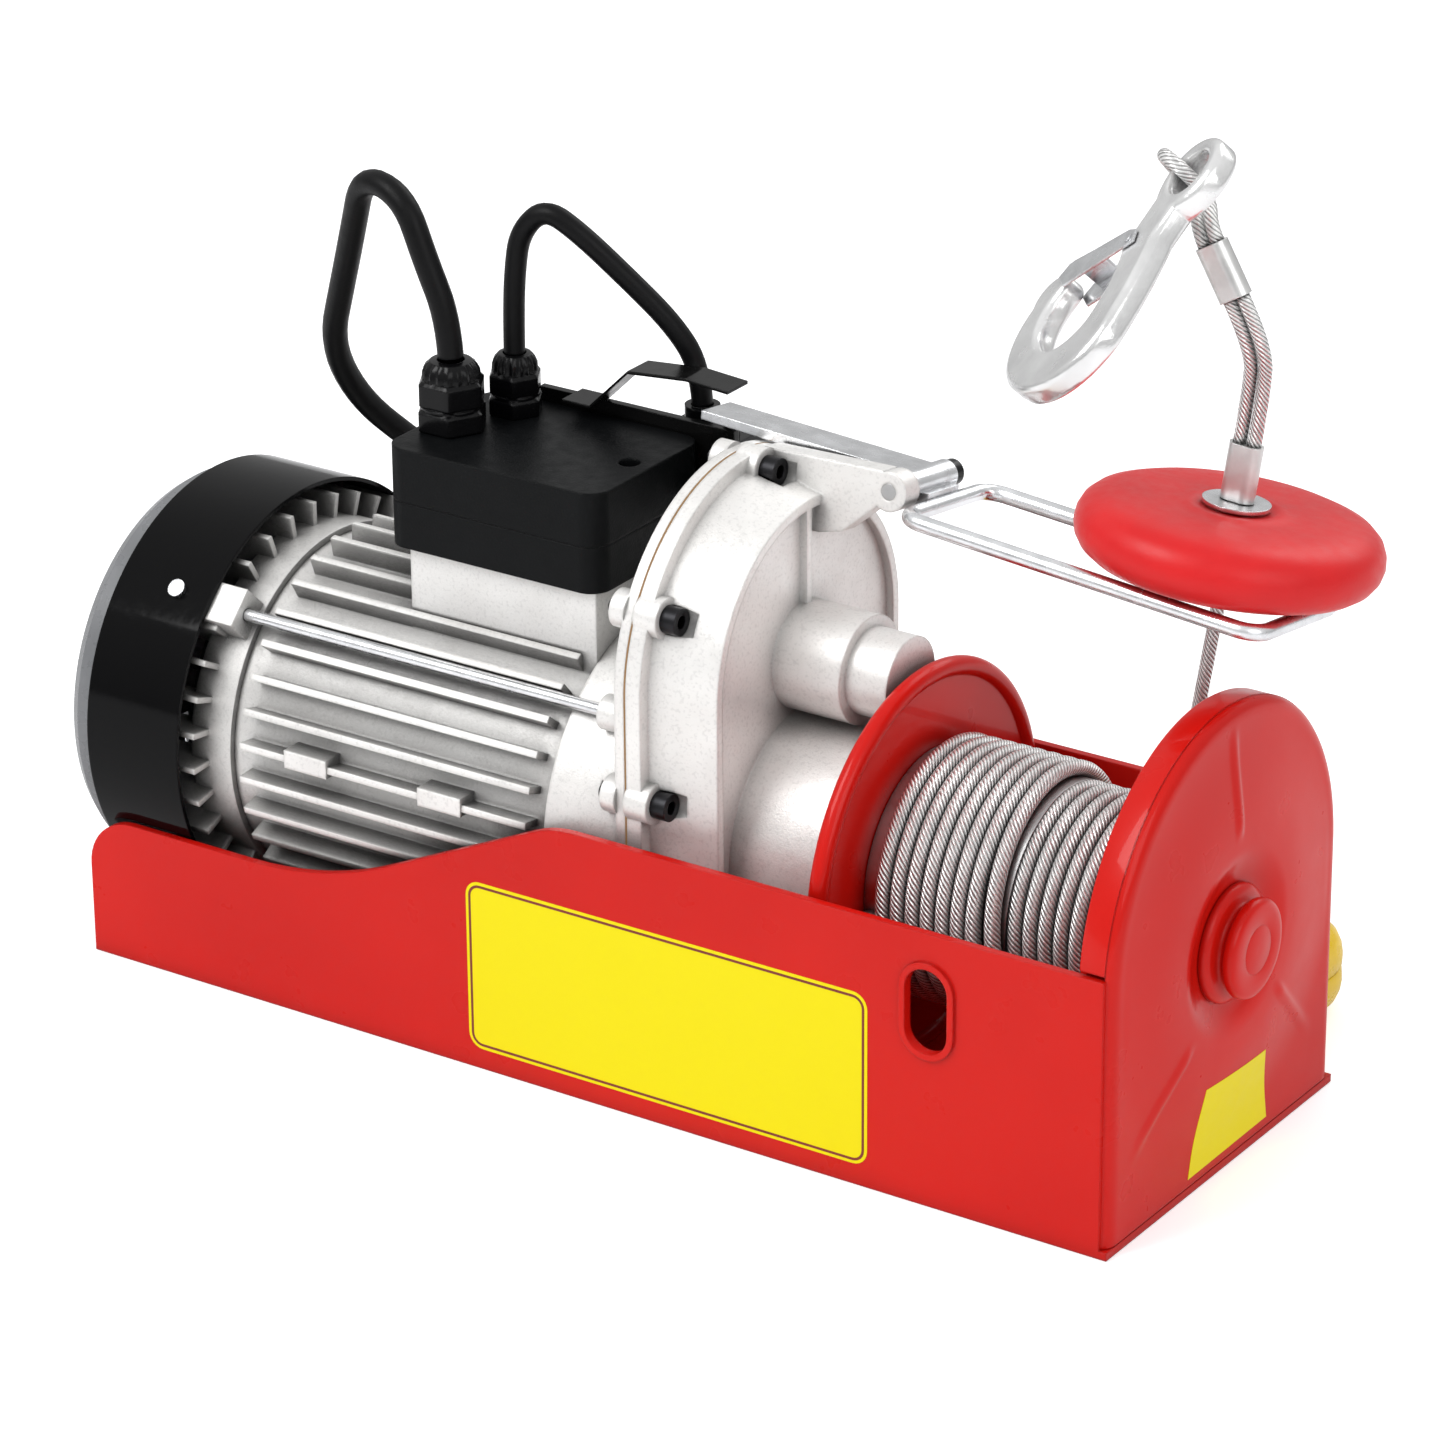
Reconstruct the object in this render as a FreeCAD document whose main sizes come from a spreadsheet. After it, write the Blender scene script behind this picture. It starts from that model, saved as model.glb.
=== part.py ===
"""Small electric wire rope hoist on its mounting channel, millimetres, +Z up.

X runs along the drum axis with the rope drum at the +X end and the motor at the -X end.
The origin is the centre of the four base bolt holes, on the underside of the channel.
The hoist stands on its mounting channel, so the hook points up; in use the channel is
clamped under a beam and the hook hangs down.
"""
import FreeCAD, Part
import math
import os
import re

V = FreeCAD.Vector
ROT = FreeCAD.Rotation
OUT = "parts"
os.makedirs(OUT, exist_ok=True)
doc = FreeCAD.newDocument("rope_hoist")
sheet = doc.addObject("Spreadsheet::Sheet", "Sizes")
aliases = {}
nodes = []


# The driving sizes, in millimetres, degrees or counts.
# mounting channel
frame_length = 440
frame_width = 158
sheet_thickness = 3
plate_height = 104
tail_height = 56
slope_start = -111
slope_end = -8
slope_radius = 150
crest_radius = 40
tail_radius = 20
base_hole_radius = 4.5
base_hole_pitch_long = frame_length - 40
base_hole_pitch_wide = frame_width - 38
axis_height = 88
slot_place = 148
slot_height = 75
slot_width = 17
slot_length = 32
slot_rim = 2.5
slot_rim_proud = 1.2
foot_bolt_place = 68
foot_thickness = 8
# drum end cap and hub
cap_radius = frame_width / 2 - 1
cap_centre = 97
skirt_width = 11
cap_rib_proud = 1.2
cap_rib_width = 9
hub_flange_radius = 30
hub_step_radius = 24
hub_nose_radius = 18
hub_step = 4
hub_spigot_radius = 19.9
hub_spigot_length = 12
# clearances and fits
running_fit = 0.03
seat_gap = 0.3
press_gap = 0.02
# motor
cowl_radius = 82
cowl_wall = 1.5
cowl_end = 4 - frame_length / 2
cowl_mouth = cowl_end + 42
cowl_lip = 5
guard_bulge = 24
guard_wall = 2.5
shield_back = cowl_mouth - 4
shield_joint = shield_back + 18
shield_radius = 68
shield_fin_radius = 77
shield_fin_count = 35
shield_fin_wall = 2.2
lug_width = 15
body_end = -18
body_radius = 65.5
body_bore = 60
fin_radius = 73
fin_wall = 2.6
fin_first = 100.3
fin_pad_left = -131
fin_pad_right = -71
fin_pad_length = 19
fin_pad_height = 7
pedestal_width = 58
core_bore = 41
core_length = body_end - shield_joint - 66
core_middle = (shield_joint + body_end) / 2 - 3
winding_length = 20
rotor_gap = 0.5
rotor_shaft_radius = 7
fan_radius = 52
fan_width = 16
tie_radius = 74
tie_rod_radius = 2.3
# gear case
flange_face = 17.6
flange_thickness = 4
gasket_thickness = 0.8
case_radius = 70
counter_rise = 67
cavity_radius = 59.8
inner_cavity_radius = 55.5
case_flange = 6
wall_root_radius = 65
rim_radius = 58.5
rim_face = 49
case_floor = 46
case_floor_wall = 3.5
screw_circle = 64.5
screw_radius = 3
screw_head_radius = 5
screw_head_height = 6
screw_boss_radius = 7.5
screw_boss_length = 9.5
boss_radius = 20
boss_nose_radius = 16
boss_step = 74
boss_end = 91
lower_hub_radius = 47.5
lower_hub_end = 91
bearing_width = 9
# gear train
rotor_teeth = 15
wheel_teeth = 96
pinion_teeth = 16
drum_teeth = 64
wheel_start = 19.2
wheel_width = 7
drum_gear_start = 31
drum_gear_width = 10
tooth_play = 0.3
drum_shaft_radius = 8
counter_shaft_radius = 6
# drum and rope
drum_flange_place = 96
drum_flange_wall = 2.5
drum_flange_radius = 70
drum_rim_radius = 3.5
drum_end_place = frame_length / 2 - 19
drum_end_radius = 68
barrel_radius = 30
rope_diameter = 5
rope_pitch = 6.1
upper_radius = 45
lower_radius = 38.8
rope_leave = drum_end_place - 30
rope_step = drum_end_place - 45
upper_turns = int(2 * (rope_step - drum_flange_place - drum_flange_wall - 4) / rope_pitch) / 2
lower_turns = int((drum_end_place - rope_step - 4 - rope_diameter / 2) / rope_pitch)
# terminal box
box_left = -107.5
box_length = 93
box_front = -39
box_width = 67
box_bottom = 176
box_seam = 193.5
box_top = 214
box_wall = 2.5
box_corner = 8
lid_screw_inset = 9
gland_large_x = -97
gland_large_y = -11
gland_large_radius = 13.4
gland_small_x = -87
gland_small_y = 14
gland_small_radius = 10.6
gland_large_height = 19
gland_small_height = 16
gland_dome = 7
cable_diameter = 9.5
jumper_diameter = 8
# upper limit lever
pivot_x = 76
pivot_y = 18
pivot_z = 218.1
lever_lean = 8.6
pivot_tube_radius = 5.5
pivot_pin_radius = 3
lug_thickness = 9
lug_tip_radius = 7.2
tube_length = 28
arm_length = 86.5
arm_front = 1.5
arm_width = 18.5
arm_thickness = 3.2
arm_rise = 4.7
loop_rod = 6
loop_ahead = 9.5
loop_below = 6
loop_front = -15
loop_width = 57
loop_length = 142
loop_slope = 4.5
loop_bend = 8
bracket_thickness = 3
# stop weight, hook and pendant
weight_along = 106.1
weight_across = 39.8
rope_bend_below = 19.5
weight_radius = 54
weight_thickness = 25
weight_bore = 6
washer_radius = 12
washer_thickness = 1.5
ferrule_length = 20
ferrule_width = 12.5
ferrule_depth = 8
hook_thickness = 9.5
hook_eye_x = 175.7
hook_eye_y = 44
hook_eye_z = 342
pendant_left = 65
pendant_length = 132
pendant_front = 86
pendant_width = 58
pendant_height = 34
pendant_wall = 2.5
button_radius = 9
button_proud = 3
coil_x = -62
coil_radius = 55.9
coil_start_y = 130


def size(alias, value):
    """Write one driving size into the sheet under its alias."""
    row = len(aliases) + 1
    aliases[alias] = row
    sheet.set("A%d" % row, alias)
    sheet.set("B%d" % row, str(value))
    sheet.setAlias("B%d" % row, alias)


for alias, number in list(globals().items()):
    if alias.islower() and isinstance(number, (int, float)):
        size(alias, number)
doc.recompute()


def val(alias):
    """The number that a size holds."""
    return float(sheet.get(alias))


def bind(text):
    """Turn size names into sheet references."""
    return re.sub(r"[a-z][a-z_]+", lambda m: "Sizes." + m.group(0) if m.group(0) in aliases else m.group(0),
                  str(text))


def put(thing, prop, text):
    """Bind one property of an object to the sheet."""
    thing.setExpression(prop, bind(text))


def place(thing, x, y, z):
    """Bind where an object stands."""
    put(thing, "Placement.Base.x", x)
    put(thing, "Placement.Base.y", y)
    put(thing, "Placement.Base.z", z)
    return thing


def box(x, y, z, length, width, height, turn=None):
    """A block from its lowest corner."""
    thing = doc.addObject("Part::Box", "block")
    put(thing, "Length", length)
    put(thing, "Width", width)
    put(thing, "Height", height)
    if turn:
        thing.Placement = FreeCAD.Placement(V(), turn)
    return place(thing, x, y, z)


TO_X = ROT(V(0, 1, 0), 90)
TO_Y = ROT(V(1, 0, 0), -90)
UPRIGHT = ROT()


def rod(x, y, z, radius, length, turn=TO_X):
    """A round bar that starts at x, y, z and runs along +X, or along the turn given."""
    thing = doc.addObject("Part::Cylinder", "bar")
    put(thing, "Radius", radius)
    put(thing, "Height", length)
    thing.Placement = FreeCAD.Placement(V(), turn)
    return place(thing, x, y, z)


def axle(x, radius, length, z="axis_height"):
    """A round bar along X on the drum axis, or at the height given."""
    return rod(x, "0", z, radius, length)


def cone(x, radius, far_radius, length, z="axis_height"):
    """A tapered bar along X."""
    thing = doc.addObject("Part::Cone", "taper")
    put(thing, "Radius1", radius)
    put(thing, "Radius2", far_radius)
    put(thing, "Height", length)
    thing.Placement = FreeCAD.Placement(V(), TO_X)
    return place(thing, x, "0", z)


def ring(x, radius, thickness, z="axis_height"):
    """A torus round the X axis."""
    thing = doc.addObject("Part::Torus", "ring")
    put(thing, "Radius1", radius)
    put(thing, "Radius2", thickness)
    thing.Placement = FreeCAD.Placement(V(), TO_X)
    return place(thing, x, "0", z)


def fuse(*things):
    """One solid, or one set of solids, out of several."""
    if len(things) == 1:
        return things[0]
    thing = doc.addObject("Part::MultiFuse", "union")
    thing.Shapes = list(things)
    thing.Refine = True
    return thing


def cut(base, *tools):
    """The base less all the tools."""
    thing = doc.addObject("Part::Cut", "cut")
    thing.Base = base
    thing.Tool = fuse(*tools)
    thing.Refine = True
    return thing


def common(first, second):
    """What two solids share."""
    thing = doc.addObject("Part::Common", "common")
    thing.Base = first
    thing.Tool = second
    return thing


def obround(x, radius, length, low="axis_height", rise="counter_rise"):
    """Two round ends, one above the other, and the block between them, along X."""
    lower = axle(x, radius, length, low)
    upper = axle(x, radius, length, "%s + %s" % (low, rise))
    middle = box(x, "-(%s)" % radius, low, length, "2 * (%s)" % radius, rise)
    return fuse(lower, upper, middle)


def shape(made):
    """A solid that is worked out by formula, as a feature of its own."""
    thing = doc.addObject("Part::Feature", "form")
    thing.Shape = made
    return thing


def node(name, thing):
    """Name a finished sub-part."""
    thing.Label = name
    nodes.append((name, thing))
    return thing


def sketch_on(body, role, name):
    """A sketch on one of a body's own origin planes."""
    plane = [p for p in body.Origin.OriginFeatures if p.Role == role][0]
    made = body.newObject("Sketcher::SketchObject", name)
    made.AttachmentSupport = [(plane, "")]
    made.MapMode = "FlatFace"
    return made


def polygon(made, points):
    """A closed outline whose corners are bound to the sheet."""
    import Sketcher
    start = V()
    count = len(points)
    doc.recompute()
    probe = doc.addObject("Spreadsheet::Sheet", "Probe")
    numbers = []
    for i, (across, up) in enumerate(points):
        probe.set("A%d" % (i + 1), "=" + bind(across))
        probe.set("B%d" % (i + 1), "=" + bind(up))
    doc.recompute()
    for i in range(count):
        numbers.append(V(float(probe.get("A%d" % (i + 1))), float(probe.get("B%d" % (i + 1))), 0))
    doc.removeObject(probe.Name)
    for i in range(count):
        made.addGeometry(Part.LineSegment(numbers[i] + start, numbers[(i + 1) % count]), False)
    for i in range(count):
        made.addConstraint(Sketcher.Constraint("Coincident", i, 2, (i + 1) % count, 1))
    for i, (across, up) in enumerate(points):
        k = made.addConstraint(Sketcher.Constraint("DistanceX", -1, 1, i, 1, numbers[i].x))
        put(made, "Constraints[%d]" % k, across)
        k = made.addConstraint(Sketcher.Constraint("DistanceY", -1, 1, i, 1, numbers[i].y))
        put(made, "Constraints[%d]" % k, up)
    return made


def pad(name, role, points, length, back=False):
    """A body that is one padded outline."""
    body = doc.addObject("PartDesign::Body", name)
    outline = polygon(sketch_on(body, role, name + "_outline"), points)
    feature = body.newObject("PartDesign::Pad", name + "_pad")
    feature.Profile = outline
    put(feature, "Length", length)
    feature.Reversed = back
    outline.Visibility = False
    doc.recompute()
    return body, feature


def turned(name, points, axis_role="X_Axis"):
    """A body turned round the X axis from its half outline in the XZ plane."""
    body = doc.addObject("PartDesign::Body", name)
    outline = polygon(sketch_on(body, "XZ_Plane", name + "_outline"), points)
    axis = [p for p in body.Origin.OriginFeatures if p.Role == axis_role][0]
    feature = body.newObject("PartDesign::Revolution", name + "_turn")
    feature.Profile = outline
    feature.ReferenceAxis = (axis, [""])
    feature.Angle = 360
    doc.recompute()
    return body, feature


def round_edges(body, feature, radius, test, name="rounding"):
    """Round the edges of a body whose middle passes the test."""
    doc.recompute()
    picked = []
    for i, edge in enumerate(feature.Shape.Edges):
        first, last = edge.ParameterRange
        if test(edge, edge.valueAt((first + last) / 2)):
            picked.append("Edge%d" % (i + 1))
    made = body.newObject("PartDesign::Fillet", name)
    made.Base = (feature, picked)
    put(made, "Radius", radius)
    doc.recompute()
    return made


bearings = []
cover_screws = []


# the mounting channel and the drum end
def base_channel():
    half = "frame_width / 2"
    top = "plate_height"
    outline = [("-frame_length / 2", "0"), ("frame_length / 2 - sheet_thickness", "0"),
               ("frame_length / 2 - sheet_thickness", top), ("slope_end", top),
               ("slope_start", "tail_height"), ("-frame_length / 2", "tail_height")]
    body, feature = pad("front_plate", "XZ_Plane", outline, "sheet_thickness", back=True)
    tail = round_edges(body, feature, "tail_radius",
                       lambda e, m: abs(m.x + val("frame_length") / 2) < 0.1 and m.z > val("tail_height") - 1
                       and abs(m.y) > 0.1 and abs(m.y) < val("sheet_thickness") - 0.1, "tail_corner")
    low = round_edges(body, tail, "slope_radius",
                      lambda e, m: abs(m.x - val("slope_start")) < 1 and abs(m.z - val("tail_height")) < 0.1
                      and abs(m.y) > 0.1 and abs(m.y) < val("sheet_thickness") - 0.1, "slope_foot")
    round_edges(body, low, "crest_radius",
                lambda e, m: abs(m.x - val("slope_end")) < 1 and abs(m.z - val("plate_height")) < 0.1
                and abs(m.y) > 0.1 and abs(m.y) < val("sheet_thickness") - 0.1, "slope_crest")
    doc.recompute()
    grow = 1 if feature.Shape.CenterOfMass.y > 0 else -1
    body.Placement = FreeCAD.Placement()
    put(body, "Placement.Base.y", "-frame_width / 2" + ("" if grow > 0 else " + sheet_thickness"))
    back = doc.addObject("Part::Mirroring", "back_plate")
    back.Source = body
    back.Normal = V(0, 1, 0)
    floor = box("-frame_length / 2", "-(%s)" % half, "0", "frame_length", "frame_width", "sheet_thickness")

    def slot(width, length, y, depth):
        low_end = rod("slot_place", y, "slot_height - (slot_length - slot_width) / 2", width + " / 2",
                      depth, TO_Y)
        high_end = rod("slot_place", y, "slot_height + (slot_length - slot_width) / 2", width + " / 2",
                       depth, TO_Y)
        middle = box("slot_place - (%s) / 2" % width, y, "slot_height - (slot_length - slot_width) / 2",
                     width, depth, "slot_length - slot_width")
        return fuse(low_end, high_end, middle)

    rim = slot("(slot_width + 2 * slot_rim)", "slot_length", "-(%s) - slot_rim_proud" % half,
               "slot_rim_proud")
    hole = slot("slot_width", "slot_length", "-(%s) - 5" % half, "sheet_thickness + 10")
    far_hole = slot("slot_width", "slot_length", "%s - sheet_thickness - 5" % half, "sheet_thickness + 10")
    holes = [hole, far_hole]
    for along in ("", "-"):
        for across in ("", "-"):
            holes.append(rod(along + "base_hole_pitch_long / 2", across + "base_hole_pitch_wide / 2", "-5",
                             "base_hole_radius", "sheet_thickness + 10", UPRIGHT))
    for along in FOOT_PLACES:
        for across in ("", "-"):
            holes.append(rod(along, across + "foot_bolt_place", "-5", "screw_radius + 0.2", "30", UPRIGHT))
    node("base_channel", cut(fuse(floor, body, back, rim), *holes))


FOOT_PLACES = ("0", "37")
SCREWS_ARC = (86, 27, 153)
SCREWS_LOW = (-22, 202, -90)
SIDE_SCREW_DROP = 4.8


def screw_places():
    """Y and height of each gear case screw."""
    radius = val("screw_circle")
    low = val("axis_height")
    high = low + val("counter_rise")
    places = []
    for angle in SCREWS_ARC:
        places.append((radius * math.cos(math.radians(angle)), high + radius * math.sin(math.radians(angle))))
    for angle in SCREWS_LOW:
        places.append((radius * math.cos(math.radians(angle)), low + radius * math.sin(math.radians(angle))))
    for side in (-1, 1):
        places.append((side * (radius + 0.5), (low + high) / 2 - SIDE_SCREW_DROP))
    return places


def drum_end():
    plate = fuse(axle("frame_length / 2 - sheet_thickness", "cap_radius", "sheet_thickness", "cap_centre"),
                 box("frame_length / 2 - sheet_thickness", "-cap_radius", "sheet_thickness",
                     "sheet_thickness", "2 * cap_radius", "cap_centre - sheet_thickness"))
    skirt = cut(axle("frame_length / 2 - sheet_thickness - skirt_width", "cap_radius", "skirt_width",
                     "cap_centre"),
                axle("frame_length / 2 - sheet_thickness - skirt_width - 1", "cap_radius - sheet_thickness",
                     "skirt_width + 2", "cap_centre"),
                box("frame_length / 2 - sheet_thickness - skirt_width - 1", "-cap_radius - 1", "0",
                    "skirt_width + 2", "2 * cap_radius + 2", "plate_height + 0.4"))
    ribs = []
    for angle in (90, 210, 330):
        rib = box("frame_length / 2", "0", "axis_height", "cap_rib_proud", "cap_rib_width",
                  "68 - hub_flange_radius - 2")
        turn = ROT(V(1, 0, 0), angle - 90)
        start = turn.multVec(V(0, -val("cap_rib_width") / 2, val("hub_flange_radius") + 2))
        rib.setExpression("Placement.Base.y", None)
        rib.setExpression("Placement.Base.z", None)
        rib.Placement = FreeCAD.Placement(V(val("frame_length") / 2, start.y, val("axis_height") + start.z),
                                          turn)
        ribs.append(rib)
    bore = axle("frame_length / 2 - sheet_thickness - 1", "hub_spigot_radius + 0.1", "sheet_thickness + 3")
    node("drum_end_cap", cut(fuse(plate, skirt, *ribs), bore))
    face = "frame_length / 2"
    hub = fuse(axle(face, "hub_flange_radius", "hub_step"), axle(face, "hub_step_radius", "2 * hub_step"),
               axle(face, "hub_nose_radius", "3 * hub_step"),
               axle(face + " - hub_spigot_length", "hub_spigot_radius", "hub_spigot_length"))
    node("end_hub", cut(hub, axle(face + " - hub_spigot_length - 1", "16 + press_gap", "bearing_width + 1.5"),
                        axle(face + " - hub_spigot_length", "drum_shaft_radius + 1",
                             "hub_spigot_length + hub_step")))
    inner = cut(axle(face + " - hub_spigot_length", "16", "bearing_width"),
                axle(face + " - hub_spigot_length - 1", "drum_shaft_radius + running_fit",
                     "bearing_width + 2"))
    outer = cut(axle("lower_hub_end - bearing_width - 0.5", "20", "bearing_width"),
                axle("lower_hub_end - bearing_width - 1", "drum_shaft_radius + running_fit",
                     "bearing_width + 2"))
    bearings.extend([inner, outer])


# the motor
def spokes(count, first, step, x, inner, outer, wall, length):
    """Flat ribs that stand out from the drum axis, each a block along X."""
    made = []
    for i in range(int(round(count))):
        angle = first + step * i
        turn = ROT(V(1, 0, 0), angle)
        rib = box(x, "0", "0", length, "%s - (%s)" % (outer, inner), wall)
        corner = turn.multVec(V(0, radius_of(inner), -radius_of(wall) / 2))
        rib.setExpression("Placement.Base.y", None)
        rib.setExpression("Placement.Base.z", None)
        rib.Placement = FreeCAD.Placement(V(rib.Placement.Base.x, corner.y, val("axis_height") + corner.z),
                                          turn)
        made.append(rib)
    return made


def radius_of(text):
    """The number that a short formula of sizes gives."""
    total = 0.0
    sign = 1.0
    for word in str(text).replace("-", " - ").replace("+", " + ").split():
        if word == "-":
            sign = -1.0
        elif word == "+":
            sign = 1.0
        else:
            total += sign * (val(word) if word in aliases else float(word))
            sign = 1.0
    return total


DIAGONALS = (45, 135, 225, 315)


def on_diagonals(radius, x, thickness, length):
    """Four bars along X on the diagonals, as for tie rods."""
    made = []
    for angle in DIAGONALS:
        bar = rod(x, "(%s) * cos(%d deg)" % (radius, angle),
                  "axis_height + (%s) * sin(%d deg)" % (radius, angle),
                  thickness, length)
        made.append(bar)
    return made


BODY_FINS = 25


def motor_body():
    length = "body_end - 0.1 - (shield_joint + 0.1)"
    start = "shield_joint + 0.1"
    tube = axle(start, "body_radius", length)
    step = 360 / val("shield_fin_count")
    fins = spokes(BODY_FINS, val("fin_first") - (BODY_FINS + 1) / 2 * step, step, "shield_joint + 8",
                  "body_radius - 2", "fin_radius", "fin_wall", "body_end - shield_joint - 14")
    pads = []
    for x in ("fin_pad_left", "fin_pad_right"):
        for y in ("-fin_radius", "fin_radius - 10.5"):
            pads.append(box(x, y, "axis_height + 6.5", "fin_pad_length", "10.5", "fin_pad_height"))
    pedestal = box("box_left + 8", "box_front + 4", "axis_height + 40", "body_end - 0.1 - box_left - 8",
                   "pedestal_width",
                   "box_bottom - axis_height - 40")
    bore = axle(start + " - 1", "body_bore + press_gap", length + " + 2")
    node("motor_body", cut(fuse(tube, pedestal, *fins, *pads), bore))


def motor_shields():
    disc = axle("shield_back", "shield_radius", "shield_joint - shield_back")
    seat = axle("shield_back - 2", "22", "12")
    fins = spokes(val("shield_fin_count"), val("fin_first"), 360 / val("shield_fin_count"),
                  "shield_back - 12",
                  "shield_radius - 8", "shield_fin_radius", "shield_fin_wall", "20")
    lugs = spokes(4, 45, 90, "shield_back - 18", "54", "cowl_radius - cowl_wall - 0.45", "lug_width", "34")
    hollow = axle("shield_joint - 8", "body_bore - 4", "9")
    bearing = axle("shield_joint - 20", "16 + press_gap", "bearing_width + 0.2")
    bore = axle("shield_back - 30", "rotor_shaft_radius + 1", "60")
    holes = on_diagonals("tie_radius", "shield_joint - 12", "tie_rod_radius + 0.2", "20")
    dimples = cowl_screw_rods("2.1", "cowl_radius - 12", "20")
    node("rear_shield", cut(fuse(disc, seat, *fins, *lugs), hollow, bearing, bore, *holes, *dimples))
    wall = "cowl_radius - cowl_wall"
    length = "cowl_mouth - cowl_end"
    shell = cut(axle("cowl_end", "cowl_radius", length), axle("cowl_end + 1.5", wall, length),
                axle("cowl_end - 1", "cowl_radius - cowl_lip", length),
                *cowl_screw_rods("2.2", "cowl_radius - 5", "10"))
    node("fan_cowl", shell)
    edge = "cowl_radius - cowl_lip - 0.3"
    outline = [("cowl_end - guard_bulge", "0"), ("cowl_end - guard_bulge * 0.94", "cowl_radius * 0.43"),
               ("cowl_end - guard_bulge * 0.83", "cowl_radius * 0.67"),
               ("cowl_end - guard_bulge * 0.69", "cowl_radius * 0.83"),
               ("cowl_end - guard_bulge * 0.54", edge + " - 2.7"), ("cowl_end - guard_bulge * 0.375", edge),
               ("cowl_end + 1.8", edge), ("cowl_end + 1.8", wall + " - 0.4"),
               ("cowl_end + 3.8", wall + " - 0.4"),
               ("cowl_end + 3.8", edge + " - guard_wall"),
               ("cowl_end + 1.5 - guard_bulge * 0.375", edge + " - guard_wall"),
               ("cowl_end + 1.8 - guard_bulge * 0.54", edge + " - guard_wall - 2.4"),
               ("cowl_end + guard_wall - guard_bulge * 0.69", "cowl_radius * 0.83 - 2"),
               ("cowl_end + guard_wall - guard_bulge * 0.83", "cowl_radius * 0.67 - 1.4"),
               ("cowl_end + guard_wall - guard_bulge * 0.94", "cowl_radius * 0.43 - 1"),
               ("cowl_end + guard_wall - guard_bulge", "0")]
    body = turned("guard_dome", outline)[0]
    put(body, "Placement.Base.z", "axis_height")
    vents = []
    for i in range(12):
        turn = ROT(V(1, 0, 0), 30 * i)
        vent = box("cowl_end - guard_bulge - 5", "0", "0", "guard_bulge + 25", "30", "3.2")
        corner = turn.multVec(V(0, 24, -1.6))
        vent.setExpression("Placement.Base.y", None)
        vent.setExpression("Placement.Base.z", None)
        vent.Placement = FreeCAD.Placement(V(val("cowl_end") - val("guard_bulge") - 5, corner.y,
                                             val("axis_height") + corner.z), turn)
        vents.append(vent)
    node("fan_guard", cut(body, *vents))
    screws = cowl_screw_rods("2", "cowl_radius - 9", "9.2") + cowl_screw_rods("3.4", "cowl_radius + 0.1", "2")
    cover_screws.extend(screws)


def cowl_screw_rods(radius, start, length):
    """Bars that point out through the cowl on the diagonals."""
    made = []
    for angle in DIAGONALS:
        turn = ROT(V(0, 1, 0), 0)
        turn = ROT(V(0, 0, 1), V(0, math.cos(math.radians(angle)), math.sin(math.radians(angle))))
        bar = rod("0", "0", "0", radius, length, turn)
        place(bar, "cowl_mouth - 15", "(%s) * cos(%d deg)" % (start, angle),
              "axis_height + (%s) * sin(%d deg)" % (start, angle))
        made.append(bar)
    return made


def front_shield():
    neck = axle("body_end", "case_radius", "flange_face - flange_thickness - body_end")
    flange = obround("flange_face - flange_thickness", "case_radius", "flange_thickness")
    upper = axle("2", "18", "flange_face - 3", "axis_height + counter_rise")
    lugs = on_diagonals("tie_radius", "-2", "6.5", "flange_face - flange_thickness + 3")
    bosses = [rod("8", str(y), str(z), "screw_boss_radius - 0.5", "flange_face - flange_thickness - 7.5")
              for y, z in screw_places()]
    feet = foot_pair("-12", "24")
    hollow = axle("body_end - 1", "body_bore - 4", "8")
    seat = axle("-2", "16 + press_gap", "bearing_width + 0.2")
    bore = axle("-30", "rotor_shaft_radius + 1", "60")
    pocket = axle("flange_face - bearing_width - 0.5", "13 + press_gap", "20", "axis_height + counter_rise")
    holes = [rod("3", str(y), str(z), "screw_radius + 0.1", "30") for y, z in screw_places()]
    holes += on_diagonals("tie_radius", "-13", "tie_rod_radius + 0.2", "24")
    node("front_shield", cut(fuse(neck, flange, upper, *lugs, *bosses, *feet), hollow, seat, bore, pocket,
                             *holes,
                             *foot_holes("0")))


def foot_pair(x, length):
    """Two feet that stand on the channel, each with a bolting ledge."""
    made = []
    for side in (-1, 1):
        low = 20 if side > 0 else -62
        made.append(box(x, str(low), "sheet_thickness", length, "42", "36"))
        ledge = "foot_bolt_place - 8" if side > 0 else "-foot_bolt_place - 7"
        made.append(box(x, ledge, "sheet_thickness", length, "15", "foot_thickness"))
    return made


def foot_holes(x):
    """Bolt holes through a pair of feet."""
    return [rod(x, side + "foot_bolt_place", "-5", "screw_radius + 0.2", "30", UPRIGHT) for side in ("", "-")]


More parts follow.
